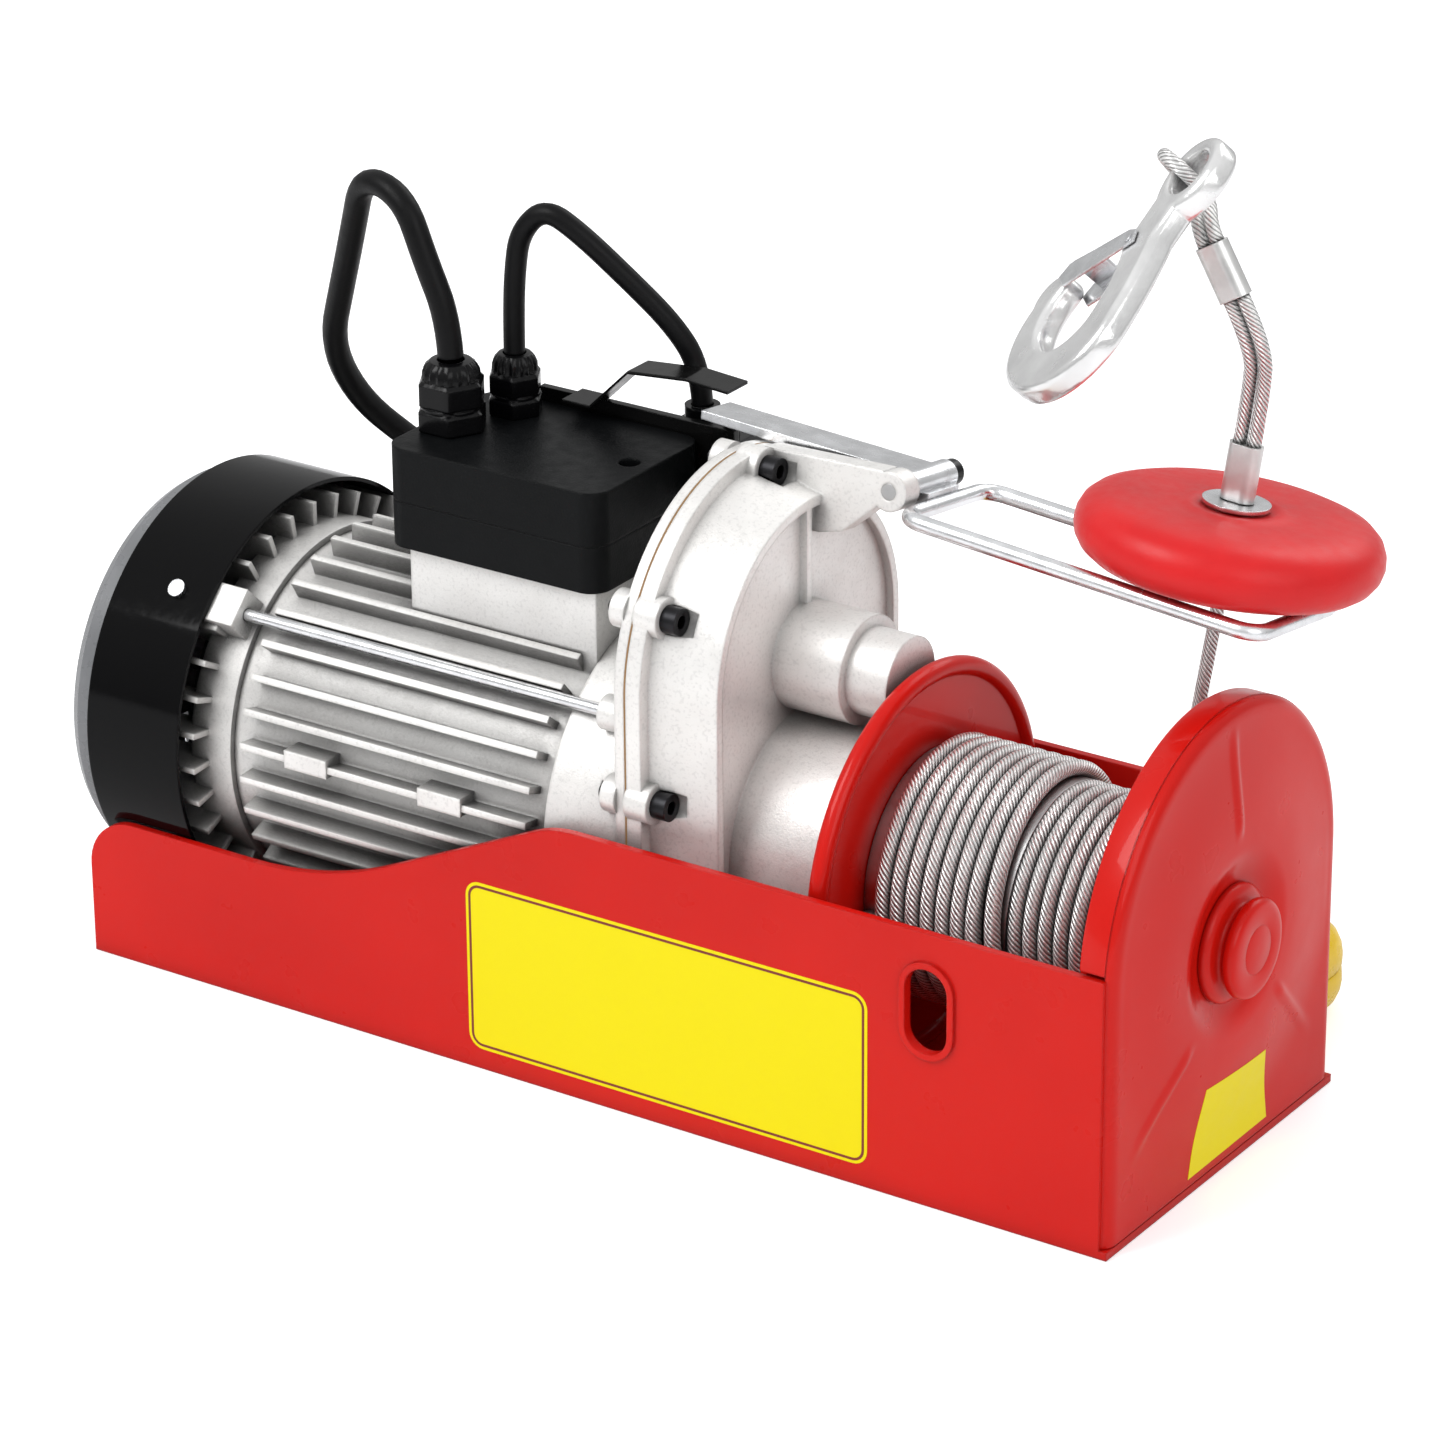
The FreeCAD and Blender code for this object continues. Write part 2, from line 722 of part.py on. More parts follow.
def motor_inside():
    start = "core_middle - core_length / 2"
    ends = 12
    core = cut(axle(start, "body_bore", "core_length"), axle(start + " - 1", "core_bore", "core_length + 2"),
               *spokes(ends, 0, 360 / ends, start + " - 1", "core_bore - 1", "core_bore + 11", "7",
                       "core_length + 2"))
    node("stator_core", core)
    bars = spokes(ends, 0, 360 / ends, start + " - 2", "core_bore + 1.2", "core_bore + 10", "6",
                  "core_length + 4")
    coils = []
    for x in (start + " - winding_length", start + " + core_length"):
        coils.append(cut(axle(x, "core_bore + 15", "winding_length"),
                         axle(x + " - 1", "core_bore + 3", "winding_length + 2")))
    node("stator_windings", fuse(*bars, *coils))
    rotor = cut(axle(start, "core_bore - rotor_gap", "core_length"),
                axle(start + " - 1", "rotor_shaft_radius + 2 + press_gap", "core_length + 2"))
    node("rotor", rotor)
    rear = cut(axle("shield_joint - 20 + 0.1", "16", "bearing_width"),
               axle("shield_joint - 22", "rotor_shaft_radius + running_fit", "bearing_width + 4"))
    front = cut(axle("-2 + 0.1", "16", "bearing_width"),
                axle("-4", "rotor_shaft_radius + running_fit", "bearing_width + 4"))
    bearings.extend([rear, front])
    node("tie_rods", fuse(*on_diagonals("tie_radius", "shield_joint - 11", "tie_rod_radius",
                                        "flange_face - flange_thickness - shield_joint + 8")))
    hub = axle("cowl_end + 9", "12", "fan_width + 2")
    back = axle("cowl_end + 9 + fan_width", "fan_radius", "2")
    blades = spokes(7, 0, 360 / 7, "cowl_end + 9", "10", "fan_radius", "2", "fan_width + 1")
    node("cooling_fan", cut(fuse(hub, back, *blades), axle("cowl_end + 8",
                                                           "rotor_shaft_radius - 1 + press_gap",
                                                           "fan_width + 6")))


# the gear train
def tooth_ring(teeth, module, start, width, height, phase, bore, play):
    """A spur gear with straight flanked teeth, along X, at the height given."""
    pitch = module * teeth / 2
    root = pitch - 1.2 * module
    tip = pitch + 0.85 * module
    step = 2 * math.pi / teeth
    half_pitch = step / 4 - play / pitch / 2
    slope = 0.36 * module / pitch
    points = []
    for i in range(teeth):
        middle = phase + i * step
        for radius, half in ((root, half_pitch + slope * 1.2), (tip, half_pitch - slope * 0.85)):
            points.append((radius, middle - half))
        for radius, half in ((tip, half_pitch - slope * 0.85), (root, half_pitch + slope * 1.2)):
            points.append((radius, middle + half))
    corners = [V(start, r * math.cos(a), height + r * math.sin(a)) for r, a in points]
    face = Part.Face(Part.makePolygon(corners + [corners[0]]))
    solid = face.extrude(V(width, 0, 0))
    return solid.cut(Part.makeCylinder(bore, width + 2, V(start - 1, 0, height), V(1, 0, 0)))


def gears():
    low = val("axis_height")
    high = low + val("counter_rise")
    fine = 2 * val("counter_rise") / (val("rotor_teeth") + val("wheel_teeth"))
    coarse = 2 * val("counter_rise") / (val("pinion_teeth") + val("drum_teeth"))
    play = val("tooth_play")
    up = math.pi / 2
    counter = val("counter_shaft_radius")
    shaft = val("rotor_shaft_radius")
    start = val("wheel_start")
    width = val("wheel_width")
    # a tooth of the wheel points down into a gap of the pinion below it
    wheel = tooth_ring(int(val("wheel_teeth")), fine, start, width, high, -up, counter + val("press_gap"),
                       play)
    node("counter_gear", shape(wheel))
    gap = math.pi / val("rotor_teeth")
    pinion = tooth_ring(int(val("rotor_teeth")), fine, start - 0.5, width + 1, low, up + gap, 1, play)
    rotor_start = val("cowl_end") + 8
    bars = [Part.makeCylinder(shaft - 1, 30, V(rotor_start, 0, low), V(1, 0, 0)),
            Part.makeCylinder(shaft, -rotor_start - 28 + 12, V(rotor_start + 28, 0, low), V(1, 0, 0)),
            Part.makeCylinder(shaft + 2, val("core_length") + 30,
                              V(val("core_middle") - val("core_length") / 2 - 15, 0, low), V(1, 0, 0)),
            Part.makeCylinder(shaft - 1.5, start - 10, V(10, 0, low), V(1, 0, 0)), pinion,
            Part.makeCylinder(2, 8, V(start - 1, 0, low), V(1, 0, 0))]
    joined = bars[0].multiFuse(bars[1:]).removeSplitter()
    node("rotor_shaft", shape(joined))
    start = val("drum_gear_start")
    width = val("drum_gear_width")
    drum_bore = val("drum_shaft_radius") + val("press_gap")
    big = tooth_ring(int(val("drum_teeth")), coarse, start, width, low, up, drum_bore, play)
    node("drum_gear", shape(big))
    gap = math.pi / val("pinion_teeth")
    small = tooth_ring(int(val("pinion_teeth")), coarse, start - 1, width + 2, high, -up + gap, 1, play)
    bars = [Part.makeCylinder(counter, val("boss_step") + 2 * val("bearing_width") - 0.5 - val("flange_face"),
                              V(val("flange_face") - val("bearing_width"), 0, high), V(1, 0, 0)), small]
    node("counter_shaft", shape(bars[0].fuse(bars[1]).removeSplitter()))


def gear_case():
    face = "flange_face + gasket_thickness"
    flange = obround(face, "case_radius", "case_flange")
    low = cone(face + " + case_flange - 1", "wall_root_radius", "rim_radius",
               "rim_face - (%s) - case_flange + 1" % face)
    high = cone(face + " + case_flange - 1", "wall_root_radius", "rim_radius",
                "rim_face - (%s) - case_flange + 1" % face, "axis_height + counter_rise")
    slab_start = val("flange_face") + val("gasket_thickness") + val("case_flange") - 1
    slab = Part.makePolygon([V(slab_start, -val("wall_root_radius"), val("axis_height")),
                             V(val("rim_face"), -val("rim_radius"), val("axis_height")),
                             V(val("rim_face"), val("rim_radius"), val("axis_height")),
                             V(slab_start, val("wall_root_radius"), val("axis_height")),
                             V(slab_start, -val("wall_root_radius"), val("axis_height"))])
    slab = shape(Part.Face(slab).extrude(V(0, 0, val("counter_rise"))))
    top = "axis_height + counter_rise"
    recess = cut(obround("case_floor", "rim_radius - 3.5", "10"),
                 axle("case_floor - 1", "lower_hub_radius", "20"),
                 axle("case_floor - 1", "boss_radius", "20", top),
                 box("case_floor - 1", "-1.5", "axis_height", "20", "3", "counter_rise + 70"))
    boss = fuse(axle("case_floor - 1", "boss_radius", "boss_step - case_floor + 1", top),
                axle("case_floor - 1", "boss_nose_radius", "boss_end - case_floor + 1", top))
    hub = axle("case_floor - 1", "lower_hub_radius", "lower_hub_end - case_floor + 1")
    screw_bosses = [rod(face, str(y), str(z), "screw_boss_radius", "screw_boss_length") for y,
                    z in screw_places()]
    feet = foot_pair("flange_face + gasket_thickness + 2", "28")
    lug = lever_lug()
    cavity = obround(face + " - 1", "cavity_radius", "wheel_start + wheel_width + 1.8 - (%s)" % face)
    inner = obround(face, "inner_cavity_radius", "case_floor - case_floor_wall - (%s)" % face)
    bearing = axle("lower_hub_end - bearing_width - 0.5", "20 + press_gap", "30")
    shaft_bore = axle("20", "drum_shaft_radius + 1.5", "80")
    counter_seat = axle("boss_step", "13 + press_gap", "bearing_width + 0.5", top)
    counter_bore = axle("40", "13 + press_gap", "boss_step - 40 + 1", top)
    holes = [rod("10", str(y), str(z), "screw_radius + 0.1", "60") for y, z in screw_places()]
    holes += [rod(face + " + screw_boss_length", str(y), str(z), "screw_head_radius + 0.5",
                  "screw_head_height + 4")
              for y, z in screw_places()]
    body = cut(fuse(flange, low, high, slab), recess)
    solid = fuse(body, boss, hub, lug, *screw_bosses, *feet)
    pin = shape(lever_bar(-val("lug_thickness") - 5, val("lug_thickness") + 8,
                          val("pivot_pin_radius") + val("press_gap")))
    node("gear_case", cut(solid, cavity, inner, bearing, shaft_bore, counter_seat, counter_bore, pin, *holes,
                          *foot_holes("37")))
    sheet_ring = cut(obround("flange_face", "case_radius", "gasket_thickness"),
                     obround("flange_face - 1", "cavity_radius", "gasket_thickness + 2"),
                     *[rod("10", str(y), str(z), "screw_radius + 0.1", "20") for y, z in screw_places()])
    node("gasket", sheet_ring)
    screws = []
    for y, z in screw_places():
        head = cut(rod(face + " + screw_boss_length", str(y), str(z), "screw_head_radius",
                       "screw_head_height"),
                   rod(face + " + screw_boss_length + 3", str(y), str(z), "2.5", "5"))
        screws.append(fuse(head, rod("5", str(y), str(z), "screw_radius",
                                     face + " + screw_boss_length - 4.5")))
    bolts = list(screws)
    for x in FOOT_PLACES:
        for side in ("", "-"):
            bolts.append(rod(x, side + "foot_bolt_place", "0.2", "screw_radius",
                             "sheet_thickness + foot_thickness", UPRIGHT))
            bolts.append(rod(x, side + "foot_bolt_place", "sheet_thickness + foot_thickness",
                             "screw_head_radius",
                             "screw_head_height", UPRIGHT))
    node("socket_screws", fuse(*bolts))
    left = cut(axle("flange_face - bearing_width", "13", "bearing_width", top),
               axle("0", "counter_shaft_radius + running_fit", "30", top))
    right = cut(axle("boss_step", "13", "bearing_width", top),
                axle("60", "counter_shaft_radius + running_fit", "40", top))
    bearings.extend([left, right])
    node("bearings", fuse(*bearings))


def lever_point(x, y, z):
    """A point from its distances to the front end of the lever's tube: X, along the tube and up across it."""
    lean = math.radians(val("lever_lean"))
    return V(val("pivot_x") + x, val("pivot_y") + y * math.cos(lean) + z * math.sin(lean),
             val("pivot_z") - y * math.sin(lean) + z * math.cos(lean))


def lever_way(x, y, z):
    """A direction in the lever's own axes."""
    return lever_point(x, y, z) - lever_point(0, 0, 0)


def lever_bar(start, length, radius):
    """A round bar on the lever's pivot axis."""
    return Part.makeCylinder(radius, length, lever_point(0, start, 0), lever_way(0, 1, 0))


def lever_plate(outline, start, width):
    """An outline across the lever's axis, extruded along it."""
    corners = [lever_point(x, start, z) for x, z in outline]
    return Part.Face(Part.makePolygon(corners + [corners[0]])).extrude(lever_way(0, 1, 0) * width)


def lever_lug():
    """The arm of the gear case that carries the limit lever."""
    top = val("axis_height") + val("counter_rise") + val("rim_radius") - val("pivot_z")
    depth = val("lug_thickness")
    root = val("flange_face") + 6.4 - val("pivot_x")
    outline = [(root, top + 10.5), (-3, 7.1), (0, 0), (-5, top - 2), (-17.6, top - 13.3), (-27, top - 15.5),
               (-36, top - 15.5), (root, top - 8.5)]
    arm = lever_plate(outline, -depth - val("seat_gap"), depth)
    tip = lever_bar(-depth - val("seat_gap"), depth, val("lug_tip_radius"))
    return shape(arm.fuse(tip).removeSplitter())


# the drum and its rope
def drum():
    flange = axle("drum_flange_place", "drum_flange_radius", "drum_flange_wall")
    rim = ring("drum_flange_place + drum_flange_wall / 2", "drum_flange_radius", "drum_rim_radius")
    end = axle("drum_end_place", "drum_end_radius", "drum_flange_wall")
    barrel = axle("drum_flange_place", "barrel_radius", "drum_end_place - drum_flange_place + 1")
    node("drum", cut(fuse(flange, rim, end, barrel), axle("0", "drum_shaft_radius + press_gap", "300")))
    node("drum_shaft", axle("drum_gear_start - 1", "drum_shaft_radius",
                            "frame_length / 2 - 1 - drum_gear_start"))
    wall = "drum_flange_place + drum_flange_wall + seat_gap"
    step = "rope_step"
    upper = axle(wall, "upper_radius - rope_diameter / 2 - seat_gap", step + " - (%s)" % wall)
    lower = axle(wall, "lower_radius - rope_diameter / 2 - seat_gap",
                 "drum_end_place - seat_gap - (%s)" % wall)
    node("rope_inner_layers", cut(fuse(upper, lower), axle("50", "barrel_radius + press_gap", "200")))


def biarc(start, begin, end, finish):
    """Two arcs that join two points along the directions given."""
    span = end - start
    total = begin + finish
    bend = 2 * (1 - begin.dot(finish))
    if bend < 1e-9:
        reach = span.dot(span) / (4 * span.dot(finish))
    else:
        reach = (-span.dot(total) + math.sqrt(span.dot(total) ** 2 + bend * span.dot(span))) / bend
    middle = (start + begin * reach + end - finish * reach) * 0.5
    return [arc_from(start, begin, middle), arc_to(middle, end, finish)]


def arc_from(start, begin, end):
    """The arc that leaves a point along a direction and reaches another point."""
    chord = end - start
    unit = V(chord).normalize()
    lean = begin - unit * begin.dot(unit)
    if lean.Length < 1e-7:
        return Part.LineSegment(start, end).toShape()
    angle = math.acos(max(-1, min(1, begin.dot(unit))))
    rise = chord.Length / 2 / math.sin(angle) * (1 - math.cos(angle))
    return Part.Arc(start, (start + end) * 0.5 + lean.normalize() * rise, end).toShape()


def arc_to(start, end, finish):
    """The arc that reaches a point along a direction."""
    chord = end - start
    unit = V(chord).normalize()
    lean = unit * finish.dot(unit) - finish
    if lean.Length < 1e-7:
        return Part.LineSegment(start, end).toShape()
    angle = math.acos(max(-1, min(1, finish.dot(unit))))
    rise = chord.Length / 2 / math.sin(angle) * (1 - math.cos(angle))
    return Part.Arc(start, (start + end) * 0.5 + lean.normalize() * rise, end).toShape()


def pipe(edges, diameter, label):
    """A round tube along joined edges; its volume is compared with its section times its length."""
    wire = Part.Wire(edges)
    first = wire.Edges[0]
    begin = first.tangentAt(first.FirstParameter)
    origin = first.valueAt(first.FirstParameter)
    circle = Part.Wire(Part.makeCircle(diameter / 2, origin, begin))
    solid = wire.makePipeShell([circle], True, False)
    expected = math.pi * diameter ** 2 / 4 * wire.Length
    print("%s: length %.1f mm, volume %.4f of section times length" % (label, wire.Length,
            solid.Volume / expected))
    return solid


def least_gap(points, steps_apart, diameter, label):
    """Print the smallest gap of a wound tube to itself, on points along it."""
    least = 1e9
    for i, a in enumerate(points):
        for b in points[i + steps_apart:]:
            least = min(least, (a - b).Length)
    print("%s: least gap to itself %.2f mm" % (label, least - diameter))


def winding(place_at, tangent_at, quarters, first, last, diameter, label):
    """A tube over quarter turns of a winding, with a straight end of one diameter each side."""
    spots = [place_at(k) for k in range(quarters + 1)]
    ways = [tangent_at(k) for k in range(quarters + 1)]
    if first is not None:
        ways[0] = first
    if last is not None:
        ways[-1] = last
    edges = [Part.LineSegment(spots[0] - ways[0] * diameter, spots[0]).toShape()]
    for k in range(quarters):
        edges += biarc(spots[k], ways[k], spots[k + 1], ways[k + 1])
    edges.append(Part.LineSegment(spots[-1], spots[-1] + ways[-1] * diameter).toShape())
    samples = []
    for edge in edges[1:-1]:
        samples += edge.discretize(5)[:-1]
    least_gap(samples, 24, diameter, label)
    return pipe(edges, diameter, label)


def loop_corners():
    """The four corners of the lever's loop, on the rod's centre line."""
    slope = math.radians(val("loop_slope"))
    near_x, near_z = val("loop_ahead"), -val("loop_below")
    far_x = near_x + val("loop_length") * math.cos(slope)
    far_z = near_z - val("loop_length") * math.sin(slope)
    front = val("loop_front")
    back = front + val("loop_width")
    return [lever_point(near_x, front, near_z), lever_point(far_x, front, far_z),
            lever_point(far_x, back, far_z), lever_point(near_x, back, near_z)]


def weight_place():
    """The middle of the stop weight, which lies on the loop, and the direction of its axis."""
    near, far, _, near_back = loop_corners()
    forth = (far - near).normalize()
    across = (near_back - near).normalize()
    stand = forth.cross(across)
    height = val("weight_thickness") / 2 + val("loop_rod") / 2 + val("seat_gap")
    return near + forth * val("weight_along") + across * val("weight_across") + stand * height, stand


def rope_line():
    """Where the free rope leaves the drum, its direction, the angle there and its bend under the weight."""
    weight, stand = weight_place()
    bend = weight - stand * val("rope_bend_below")
    low = val("axis_height")
    radius = val("upper_radius")
    rise = bend.z - low
    reach = math.hypot(bend.y, rise)
    angle = math.atan2(rise, bend.y) - math.acos(radius / reach)
    leave = V(val("rope_leave"), radius * math.cos(angle), low + radius * math.sin(angle))
    return leave, (bend - leave).normalize(), angle, bend


def rope():
    low = val("axis_height")
    d = val("rope_diameter")
    pitch = val("rope_pitch")
    leave, up, angle, bend = rope_line()
    radius = val("upper_radius")
    quarters = int(round(val("upper_turns") * 4))
    start_x = val("drum_flange_place") + val("drum_flange_wall") + d / 2 + 1.5

    def upper_x(k):
        even = start_x + pitch * k / 4
        drift = leave.x - start_x - pitch * quarters / 4
        return even + drift * max(0, 1 - (quarters - k) / 3) ** 2

    def spot(k):
        turn = angle - math.pi / 2 * (quarters - k)
        return V(upper_x(k), radius * math.cos(turn), low + radius * math.sin(turn))

    def way(k):
        turn = angle - math.pi / 2 * (quarters - k)
        ahead = (upper_x(min(k + 1, quarters)) - upper_x(max(k - 1, 0)))
        span = min(k + 1, quarters) - max(k - 1, 0)
        run = ahead / span / (math.pi / 2)
        return V(run, -radius * math.sin(turn), radius * math.cos(turn)).normalize()

    node("rope_outer_layer", shape(winding(spot, way, quarters, None, up, d, "rope_outer_layer")))

    low_radius = val("lower_radius")
    low_start = val("rope_step") + d / 2 + 1.5
    low_quarters = int(round(val("lower_turns") * 4))

    def low_spot(k):
        turn = math.pi / 2 * k
        return V(low_start + pitch * k / 4, low_radius * math.cos(turn), low + low_radius * math.sin(turn))

    def low_way(k):
        turn = math.pi / 2 * k
        return V(pitch / 2 / math.pi, -low_radius * math.sin(turn), low_radius * math.cos(turn)).normalize()

    node("rope_lower_layer", shape(winding(low_spot, low_way, low_quarters, None, None, d,
                                           "rope_lower_layer")))
    weight, stand = weight_place()
    end = weight + stand * (val("weight_thickness") / 2 + val("washer_thickness") + 0.6)
    edges = smooth_route([leave + up * d, bend, end], d, "rope_free")
    node("rope_free", shape(pipe(edges, d, "rope_free")))


def weight_and_tail():
    weight, up = weight_place()
    thick = val("weight_thickness")
    body, feature = turned("weight_disc", [("-weight_thickness / 2", "0"),
                                           ("-weight_thickness / 2", "weight_radius"),
                                           ("weight_thickness / 2", "weight_radius"),
                                           ("weight_thickness / 2", "0")])
    big = val("weight_radius")
    round_edges(body, feature, "weight_thickness * 0.34",
                lambda e, m: e.Curve.TypeId == "Part::GeomCircle" and abs(e.Curve.Radius - big) < 0.1,
                "weight_edge")
    body.Placement = FreeCAD.Placement(weight, ROT(V(1, 0, 0), up))
    bore = doc.addObject("Part::Cylinder", "weight_hole")
    put(bore, "Radius", "weight_bore")
    put(bore, "Height", "weight_thickness * 2")
    bore.Placement = FreeCAD.Placement(weight - up * thick, ROT(V(0, 0, 1), up))
    node("stop_weight", cut(body, bore))
    d = val("rope_diameter")
    seat = weight + up * (thick / 2 + 0.3)
    disc = Part.makeCylinder(val("washer_radius"), val("washer_thickness"), seat, up)
    disc = disc.cut(Part.makeCylinder(d / 2 + 0.1, 10, seat - up, up))
    node("weight_washer", shape(disc))
    foot = seat + up * (val("washer_thickness") + 0.3)
    head = foot + up * val("ferrule_length")
    tilt = V(-0.5, 0, 0.866).normalize()
    high_foot = HOOK_EYE + V(15.8, 0, -39.1)
    node("ferrules", shape(Part.makeCompound([ferrule(foot, up), ferrule(high_foot, tilt)])))
    tubes = []
    side = d / 2 + 0.3
    for sign in (-1, 1):
        across_low = side_of(up) * side * sign
        across_high = side_of(tilt) * side * sign
        a = head + across_low
        b = high_foot + across_high
        edges = [Part.LineSegment(a, a + up * d).toShape()]
        edges += biarc(a + up * d, up, b - tilt * d, tilt)
        edges.append(Part.LineSegment(b - tilt * d, b).toShape())
        tubes.append(pipe(edges, d, "rope_tail strand"))
    node("rope_tail", shape(Part.makeCompound(tubes)))
    return high_foot + tilt * val("ferrule_length"), tilt


def side_of(way):
    """The direction across a ferrule in which its two strands lie."""
    return way.cross(V(0, 1, 0)).normalize()


def ferrule(foot, way):
    """A pressed sleeve round two strands, oval in section."""
    wide = val("ferrule_width")
    deep = val("ferrule_depth")
    across = side_of(way)
    normal = way.cross(across).normalize()
    shift = (wide - deep) / 2
    ends = [Part.makeCylinder(deep / 2, val("ferrule_length"), foot + across * s, way) for s in (-shift,
            shift)]
    c = [foot + across * a + normal * b for a, b in ((-shift, -deep / 2), (shift, -deep / 2),
                                                     (shift, deep / 2), (-shift, deep / 2))]
    block = Part.Face(Part.makePolygon(c + [c[0]])).extrude(way * val("ferrule_length"))
    return block.multiFuse(ends).removeSplitter()


# the hook: its own axes are length from the eye to the bowl, width and thickness
HOOK_EYE = V(val("hook_eye_x"), val("hook_eye_y"), val("hook_eye_z"))
HOOK_DOWN = V(-0.333, -0.612, -0.718).normalize()
HOOK_SIDE_HINT = V(-0.757, 0.628, -0.183)


def hook_axes():
    normal = HOOK_DOWN.cross(HOOK_SIDE_HINT).normalize()
    side = normal.cross(HOOK_DOWN).normalize()
    return HOOK_DOWN, side, normal


def hook_point(down, side, out=0):
    """A point of the hook from its own distances."""
    a, b, c = hook_axes()
    return HOOK_EYE + a * down + b * side + c * out


def thick_from(face):
    c = hook_axes()[2]
    return face.extrude(c * val("hook_thickness"))


def hook():
    c = hook_axes()[2]
    thick = val("hook_thickness")
    back = -thick / 2

    def arc(p, q, r):
        return Part.Arc(hook_point(p[0], p[1], back), hook_point(q[0], q[1], back),
                        hook_point(r[0], r[1], back)).toShape()

    def line(p, q):
        return Part.LineSegment(hook_point(p[0], p[1], back), hook_point(q[0], q[1], back)).toShape()

    outer = [(-15, 0), (0, -15), (14, -9), (24, -10.5), (62, -26), (93, 6), (66, 38), (50, 36), (56, 27),
             (76, 10), (60, -8), (34, 6), (14, 9), (0, 15)]
    edges = [arc(outer[0], (-10.6, -10.6), outer[1]), arc(outer[1], (9.5, -12.4), outer[2]),
             line(outer[2], outer[3]), arc(outer[3], (44, -20.5), outer[4]),
             arc(outer[4], (84, -18), outer[5]),
             arc(outer[5], (84.5, 29), outer[6]), arc(outer[6], (57, 40.5), outer[7]),
             arc(outer[7], (50.5, 29), outer[8]),
             arc(outer[8], (70.5, 21), outer[9]), arc(outer[9], (72, -3.5), outer[10]),
             arc(outer[10], (47, -4), outer[11]), line(outer[11], outer[12]),
             arc(outer[12], (9.5, 12.4), outer[13]),
             arc(outer[13], (-10.6, 10.6), outer[0])]
    face = Part.Face(Part.Wire(edges))
    solid = thick_from(face)
    hole = Part.makeCylinder(8.5, thick * 3, hook_point(0, 0, -thick * 1.5), c)
    pin_hole = Part.makeCylinder(1.55, 30, hook_point(30, 2, -15), c)
    node("hook_body", shape(solid.cut(hole).cut(pin_hole)))
    pin = Part.makeCylinder(1.5, thick + 3.6, hook_point(30, 2, -thick / 2 - 1.8), c)
    node("latch_pin", shape(pin))
    cheek = []
    for sign in (-1, 1):
        out = sign * (thick / 2 + 0.35) - (0 if sign > 0 else 1)
        corners = [hook_point(26, 1.5, out), hook_point(30, -2.2, out), hook_point(54, 24, out),
                   hook_point(52, 31.5, out), hook_point(46, 31, out), hook_point(27, 6, out)]
        plate = Part.Face(Part.makePolygon(corners + [corners[0]])).extrude(c * 1)
        cheek.append(plate.cut(Part.makeCylinder(1.55, 60, hook_point(30, 2, -30), c)))
    corners = [hook_point(38.5, 19.2, -thick / 2 - 1.2), hook_point(45.7, 29.4, -thick / 2 - 1.2),
               hook_point(44.6, 30.2, -thick / 2 - 1.2), hook_point(37.4, 20, -thick / 2 - 1.2)]
    web = Part.Face(Part.makePolygon(corners + [corners[0]])).extrude(c * (thick + 2.4))
    node("hook_latch", shape(cheek[0].multiFuse([cheek[1], web]).removeSplitter()))


def smooth_route(points, diameter, label):
    """Straight runs joined by tangent arcs, each as large as its two runs allow."""
    edges = []
    radii = []
    last = points[0]
    for i in range(1, len(points) - 1):
        back = points[i - 1] - points[i]
        ahead = points[i + 1] - points[i]
        shorter = min(back.Length, ahead.Length)
        turn = math.pi - back.getAngle(ahead)
        cut_back = 0.45 * shorter
        radii.append(cut_back / math.tan(turn / 2))
        start = points[i] + V(back).normalize() * cut_back
        end = points[i] + V(ahead).normalize() * cut_back
        edges.append(Part.LineSegment(last, start).toShape())
        edges.append(arc_from(start, V(back).normalize() * -1, end))
        last = end
    edges.append(Part.LineSegment(last, points[-1]).toShape())
    print("%s: radii in diameters %s" % (label, " ".join("%.1f" % (r / diameter) for r in radii)))
    return edges


def rope_eye(foot, tilt):
    """The bight of rope through the eye of the hook."""
    d = val("rope_diameter")
    side = d / 2 + 0.3
    a = foot - side_of(tilt) * side
    b = foot + side_of(tilt) * side
    points = [a, a + tilt * 6, hook_point(1.5, 4.6, 9.5), hook_point(0, 5, -9.8), hook_point(-1, 18.8, -9.8),
              hook_point(1, 19.3, 9.8), b + tilt * 6, b]
    edges = smooth_route(points, d, "rope_eye")
    node("rope_eye", shape(pipe(edges, d, "rope_eye")))


# the terminal box and its cable glands
def rounded_block(x, y, z, length, width, height, corner):
    """An upright block with rounded corners."""
    long_block = box(x, "%s + %s" % (y, corner), z, length, "%s - 2 * %s" % (width, corner), height)
    wide_block = box("%s + %s" % (x, corner), y, z, "%s - 2 * %s" % (length, corner), width, height)
    posts = []
    for px in ("%s + %s" % (x, corner), "%s + %s - %s" % (x, length, corner)):
        for py in ("%s + %s" % (y, corner), "%s + %s - %s" % (y, width, corner)):
            posts.append(rod(px, py, z, corner, height, UPRIGHT))
    return fuse(long_block, wide_block, *posts)


def lid_screw():
    """Where the screw of the lid stands."""
    return "box_left + box_length - lid_screw_inset", "box_front + box_width / 2"


def glands():
    return [("gland_large_x", "gland_large_y", "gland_large_radius", "gland_large_height", "cable_diameter"),
            ("gland_small_x", "gland_small_y", "gland_small_radius", "gland_small_height", "jumper_diameter")]


